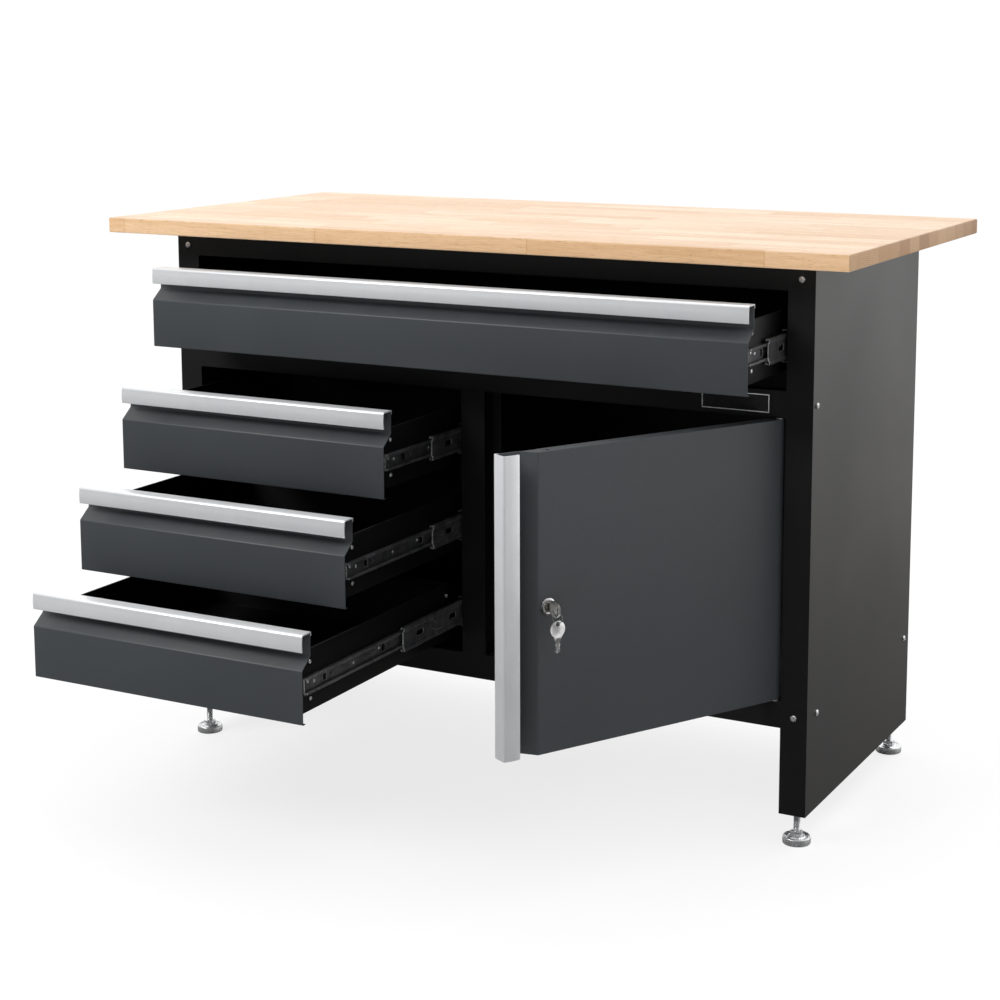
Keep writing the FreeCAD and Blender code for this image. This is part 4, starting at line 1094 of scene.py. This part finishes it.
# %% Hinge pins and washers
pin_low, pin_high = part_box("hinge_pins")
pins = []
washers = []
for base, up in ((pin_low.z, 1), (pin_high.z, -1)):
    place = facing((PIN_X, PIN_Y, base), (0, 0, up))
    pin = ring_up(mm((2.5, 0), (2.5, 8.2), (1.7, 9)), "pin", 32)
    washer = ring_up(mm((5.2, 0), (5.5, 0.3), (5.5, 1.2), (5.2, 1.5), (2.6, 1.5)), "washer", 40)
    for part, kind in ((pin, pins), (washer, washers)):
        soften(part, 0.1 * MM, angle=50)
        settle(part, place)
        kind.append(part)
kept(joined(pins, "hinge_pin_pair"), "cabinet", "zinc", ["hinge_pins"])
kept(joined(washers, "hinge_washers"), "cabinet", "zinc", (), "nylon")

# %% [markdown]
# ## Lock
# The cylinder lock shows a bright rim with fine ribs all round, like the edge of a coin. Every
# second face of a many-sided disc, inset and pushed out, makes the ribs.

# %% Lock barrel
RIBS = 72
rim = ring_up(mm((11.1, 0), (11.2, 0.3), (11.2, 1.5), (10.4, 2.2), (8.4, 2.4), (8.0, 2.0),
                 (6.9, 2.0)), "rim", RIBS)


def every_second(face):
    """Every second upright face of the rim's outer band."""
    number = round(math.atan2(face.normal.y, face.normal.x) / math.tau * RIBS - 0.5)
    height = face.calc_center_median().z
    return abs(face.normal.z) < 0.2 and 0.5 * MM < height < 1.2 * MM and number % 2 == 0


editing(rim)
choose("FACE", every_second)
bpy.ops.mesh.inset(thickness=0.1 * MM, depth=0.28 * MM, use_individual=True)
done()
barrel = cylinder("barrel", 9.2 * MM, -26 * MM, 0.1 * MM, 48)
barrel = joined([rim, barrel], "lock_body")
drilled(barrel, cylinder("cutter", 6.3 * MM, -40 * MM, 10 * MM, 48))
soften(barrel, 0.08 * MM, angle=40)
settle(barrel, HINGE @ facing((LOCK_X, DOOR_FACE, LOCK_Z), (0, -1, 0)))
kept(barrel, "door", "lock_chrome", ["lock_barrel"])

# %% [markdown]
# ## Keys and ring
# A key is stamped from sheet: a round head with a hole, a shoulder, and a blade with notches
# cut into its edge and a groove along each side. It is put together from simple solids with
# boolean modifiers, as a stamping is from a blank.

# %% Key shape
KEY_HALF = 1 * MM
BOW = 11 * MM
RING_HOLE = 3.1 * MM
NOTCH = 1.3 * MM
NOTCHES = ((1.6, 6.6), (1.1, 9.6), (1.9, 12.6), (1.4, 15.6))


def key_shape(name, hole, blade_end, toothed=True):
    """A key in the XZ plane: its head's middle at the origin, its blade pointing down."""
    key = cylinder(name, BOW, -KEY_HALF, KEY_HALF, 48)
    settle(key, Matrix.Rotation(math.radians(90), 4, "X"))
    blade = block("blade", (-4 * MM, -KEY_HALF, -blade_end), (4 * MM, KEY_HALF, -5 * MM))
    editing(blade)
    choose("EDGE", lambda e: all(v.co.z < -blade_end + 0.1 * MM for v in e.verts) and
           abs((e.verts[0].co - e.verts[1].co).y) > MM)
    bpy.ops.mesh.bevel(offset=2.4 * MM, segments=1, affect="EDGES")
    done()
    shoulder = block("shoulder", (-8.6 * MM, -KEY_HALF, -13.6 * MM), (8.6 * MM, KEY_HALF, -6 * MM))
    editing(shoulder)
    for side in (-1, 1):
        move_vertices(lambda v: v.co.z < -10 * MM and v.co.x * side > 0,
                      (-side * 4.2 * MM, 0, 0))
    done()
    for more in (blade, shoulder):
        apply(key, "BOOLEAN", object=more, operation="UNION", solver="EXACT")
        removed(more)
    bore = cylinder("cutter", RING_HOLE, -9 * MM, 9 * MM)
    settle(bore, Matrix.Translation((hole[0], 0, hole[1])) @ Matrix.Rotation(math.pi / 2, 4, "X"))
    drilled(key, bore)
    for side in (-1, 1):
        groove = block("cutter", (-0.7 * MM, side * 0.55 * MM, -blade_end - MM),
                       (0.9 * MM, side * 2 * MM, -BOW - MM))
        drilled(key, groove)
    if toothed:
        for depth, along in NOTCHES:
            for side in (-1, 1):
                notch = block("cutter", (-NOTCH, -9 * MM, -NOTCH), (NOTCH, 9 * MM, NOTCH))
                spot = (side * (5.6 - depth) * MM, 0, -BOW - along * MM)
                settle(notch, Matrix.Translation(spot) @ Matrix.Rotation(math.pi / 4, 4, "Y"))
                drilled(key, notch)
    soften(key, 0.22 * MM, angle=40)
    return key


print("key blank ready")

# %% [markdown]
# One key stands in the lock, its head turned so that the ring's hole lies to the lower side.
# The ring hangs in that hole, and the spare key hangs in the ring.

# %% Two keys in their places
RING_RADIUS = 6.8 * MM
bow_y = -22 * MM
hole_reach = 6.7 * MM
door_key = key_shape("door_key_cut", (0.6 * hole_reach, 0.8 * hole_reach), 32 * MM, False)
along_door = Matrix(((0, 1, 0, 0), (0, 0, -1, 0), (-1, 0, 0, 0), (0, 0, 0, 1)))
settle(door_key, HINGE @ Matrix.Translation((LOCK_X, bow_y, LOCK_Z)) @ along_door)
# This key takes the darker copy of the key steel: painted shade and painted edge highlights.
kept(door_key, "lock", "key_steel", ["door_key"], "key_steel_shaded")

hole_y = bow_y - 0.8 * hole_reach
hole_z = LOCK_Z - 0.6 * hole_reach
ring_z = hole_z - RING_RADIUS
spare_hole = ring_z - RING_RADIUS
spare = key_shape("spare_key_cut", (0, hole_reach), 31 * MM)
settle(spare, HINGE @ Matrix.Translation((LOCK_X, hole_y, spare_hole - hole_reach)))
kept(spare, "spare_key", "key_steel", ["spare_key"])

# %% [markdown]
# The ring is a wire wound twice round: a small circle swept by a Screw modifier, its two ends
# closed.

# %% Key ring
WIRE = 0.5 * MM
WIRE_STEP = 1.04 * MM
deselect()
bpy.ops.mesh.primitive_circle_add(vertices=12, radius=WIRE, rotation=(math.pi / 2, 0, 0),
                                  location=(RING_RADIUS - WIRE, 0, -WIRE_STEP))
ring = added("key_ring_wound")
settle(ring, ring.matrix_world.copy())
apply(ring, "SCREW", angle=4 * math.pi, screw_offset=WIRE_STEP, steps=96, render_steps=96,
      iterations=1, axis="Z", use_merge_vertices=False)
editing(ring)
choose("EDGE", lambda e: e.is_boundary)
bpy.ops.mesh.edge_face_add()
face_outwards()
done()
smoothed(ring, 45)
settle(ring, HINGE @ Matrix.Translation((LOCK_X, hole_y, ring_z)) @
       Matrix.Rotation(math.radians(-45), 4, "Z") @ Matrix.Rotation(math.pi / 2, 4, "X"))
kept(ring, "key_ring", "key_steel", ["key_ring"])

# %% [markdown]
# ## Feet
# A levelling foot is a pressed cup with a rolled rim, a hexagon to turn it by, and an M10
# stud. The cup is drawn ring after ring.

# %% Cup and hexagon
HEX_LOW, HEX_TOP = 11 * MM, 18 * MM
cup = ring_up(mm((18.8, 0), (19.5, 0.2), (19.9, 0.8), (20.0, 1.8), (20.0, 8.6), (19.8, 9.6),
                 (19.2, 10.3), (18.4, 10.5), (17.6, 10.2), (16.4, 9.2), (14.8, 8.5),
                 (13.4, 8.5), (12.4, 9.2), (11.6, 10.4), (10.8, 10.9), (9.4, 11.0)), "cup", 64)
smoothed(cup, 60)
nut = cylinder("nut", 9.2 * MM, HEX_LOW, HEX_TOP, 6)
soften(nut, 0.5 * MM, 3, 50)
print("cup", len(cup.data.polygons), "faces, hexagon", len(nut.data.polygons))

# %% [markdown]
# The thread is one tooth swept up a helix by a Screw modifier, then cut flat at both ends.

# %% Thread
PITCH = 1.5 * MM
STUD_TOP = 88 * MM
deselect()
bpy.ops.mesh.primitive_plane_add(size=2)
thread = added("thread")
editing(thread)
choose("VERT", lambda v: v.co.y < 0)
bpy.ops.mesh.delete(type="VERT")
bpy.ops.mesh.select_all(action="SELECT")
bpy.ops.mesh.subdivide(number_cuts=1)
for place, (out, up) in ((0, (5.0, -0.25)), (-1, (4.2, -1.0)), (1, (4.2, 0.5))):
    move_vertices(lambda v: abs(v.co.x - place) < 0.01, (out * MM - place, -1, up * MM))
done()
settle(thread, Matrix.Translation((0, 0, HEX_TOP - 3 * MM)))
apply(thread, "SCREW", angle=2 * math.pi, screw_offset=PITCH, steps=28, render_steps=28,
      iterations=50, axis="Z", use_merge_vertices=True, merge_threshold=0.02 * MM)
editing(thread)
for height, upper in ((HEX_TOP - 0.5 * MM, False), (STUD_TOP, True)):
    bpy.ops.mesh.select_all(action="SELECT")
    bpy.ops.mesh.bisect(plane_co=(0, 0, height), plane_no=(0, 0, 1), use_fill=True,
                        clear_inner=not upper, clear_outer=upper)
face_outwards()
done()
smoothed(thread, 30)
print("thread", len(thread.data.polygons), "faces")

# %% Four feet
for row in ("front", "back"):
    for side in ("left", "right"):
        foot = row + "_" + side
        low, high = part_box("foot_stud_" + foot)
        place = Matrix.Translation(((low.x + high.x) / 2, (low.y + high.y) / 2, 0))
        kept(copied(cup, place, "foot_cup_" + foot), "foot_" + foot, "zinc", ["foot_pad_" + foot])
        stud = joined([copied(nut, place, "stud"), copied(thread, place, "stud")],
                      "foot_screw_" + foot)
        kept(stud, "foot_" + foot, "zinc", ["foot_stud_" + foot])
for master in (cup, nut, thread):
    removed(master)

# %% [markdown]
# ## Name plate
# The plate on the middle rail stays blank: black enamel inside a thin pale border. Two insets
# on its front face give the border as a raised line with its own finish.

# %% Name plate
low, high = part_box("badge_plate")
plate = block("name_plate", low, high)
editing(plate)
choose("FACE", lambda f: f.normal.y < -0.9)
bpy.ops.mesh.inset(thickness=0.5 * MM)
bpy.ops.mesh.inset(thickness=1.1 * MM)
bpy.ops.transform.translate(value=(0, 0.15 * MM, 0))
done()
kept(plate, "cabinet", "badge", ["badge_plate"])
plate.data.materials.append(finishes["badge_line"])
for face in plate.data.polygons:
    spot = face.center
    inside = min(spot.x - low.x, high.x - spot.x, spot.z - low.z, high.z - spot.z)
    if face.normal.y < -0.5 and 0.6 * MM < inside < 1.5 * MM:
        face.material_index = 1
print("border faces", sum(face.material_index for face in plate.data.polygons))

# %% [markdown]
# ## The studio
# A pale floor, a sky that is bright above and behind and dim in front, one soft lamp high at
# the front left for the drawer fronts, and a wide soft sun from above that lays the pale
# shadow under the bench. The dim front keeps the black frame black; the bright back gives the
# side panel its long grey reflection.

# %% Floor
GLOW = 0.78
deselect()
bpy.ops.mesh.primitive_plane_add(size=90)
floor = added("floor")
s = finish("floor")
cloudy = s.noise(s.place(), 1.5, 3.0)
s.feed(s.surface["Base Color"], s.mix(cloudy, (0.90, 0.90, 0.905), (0.92, 0.92, 0.92)))
s.feed(s.surface["Roughness"], s.span(cloudy, 0.3, 0.7, 0.62, 0.7))
glow = s.node("Emission", {"Color": (1.0, 1.0, 1.0), "Strength": 1.0}).outputs[0]
seen = s.node("LightPath").outputs["Is Camera Ray"]
share = s.times(seen, GLOW)
lit = s.tree.nodes["Principled BSDF"].outputs[0]
both = s.node("MixShader", {0: share, 1: lit, 2: glow}).outputs[0]
s.feed(s.tree.nodes["Material Output"].inputs["Surface"], both)
floor.data.materials.append(finishes["floor"])
floor.visible_glossy = False
print("floor", tuple(floor.dimensions))

# %% [markdown]
# The sky is drawn by direction. Only its light and reflections have this shape; seen directly
# it is plain white.

# %% Sky
world = bpy.data.worlds.new("Studio")
bpy.context.scene.world = world
world.use_nodes = True
sky = Shader(world.node_tree)
out = world.node_tree.nodes["World Output"].inputs["Surface"]
direction = sky.split(sky.node("TexCoord").outputs["Generated"])
backward = sky.span(direction[1], -0.45, 0.6, 0.13, 1.28)
raised = sky.span(direction[2], -0.33, -0.03, 0.12, 1.12)
upward = sky.span(direction[2], 0.25, 0.85, 0.0, 0.95)
level = sky.math("MAXIMUM", sky.times(backward, raised), upward)
lit = world.node_tree.nodes["Background"]
tint = sky.mix(raised, (1.0, 0.94, 0.88), (1.0, 1.0, 1.0))
sky.feed(lit.inputs["Color"], tint)
sky.feed(lit.inputs["Strength"], level)
plain = sky.node("Background", {"Color": (1, 1, 1), "Strength": 1.05}).outputs[0]
seen = sky.node("LightPath").outputs["Is Camera Ray"]
both = sky.node("MixShader", {0: seen, 1: lit.outputs[0], 2: plain}).outputs[0]
sky.feed(out, both)
print("sky ready")

# %% [markdown]
# The lamp is wide, so that its shadows are soft. The sun is wide for the same reason.

# %% Lamps
LAMP_PLACE = Vector((-2.2, -3.6, 3.4))
LAMP_TARGET = Vector((0, -0.2, 0.4))
lamp_data = bpy.data.lights.new("front_lamp", "AREA")
lamp_data.shape = "RECTANGLE"
lamp_data.size, lamp_data.size_y = 2.6, 1.8
lamp_data.energy = 130
lamp = stood("front_lamp", lamp_data)
lamp.location = LAMP_PLACE
lamp.rotation_euler = (LAMP_TARGET - LAMP_PLACE).to_track_quat("-Z", "Y").to_euler()
sun_data = bpy.data.lights.new("overhead", "SUN")
sun_data.energy = 0.85
sun_data.angle = math.radians(50)
sun = stood("overhead", sun_data)
sun.rotation_euler = (math.radians(-14), math.radians(10), 0)
bpy.context.scene.view_settings.view_transform = "Standard"
print("lamps ready")
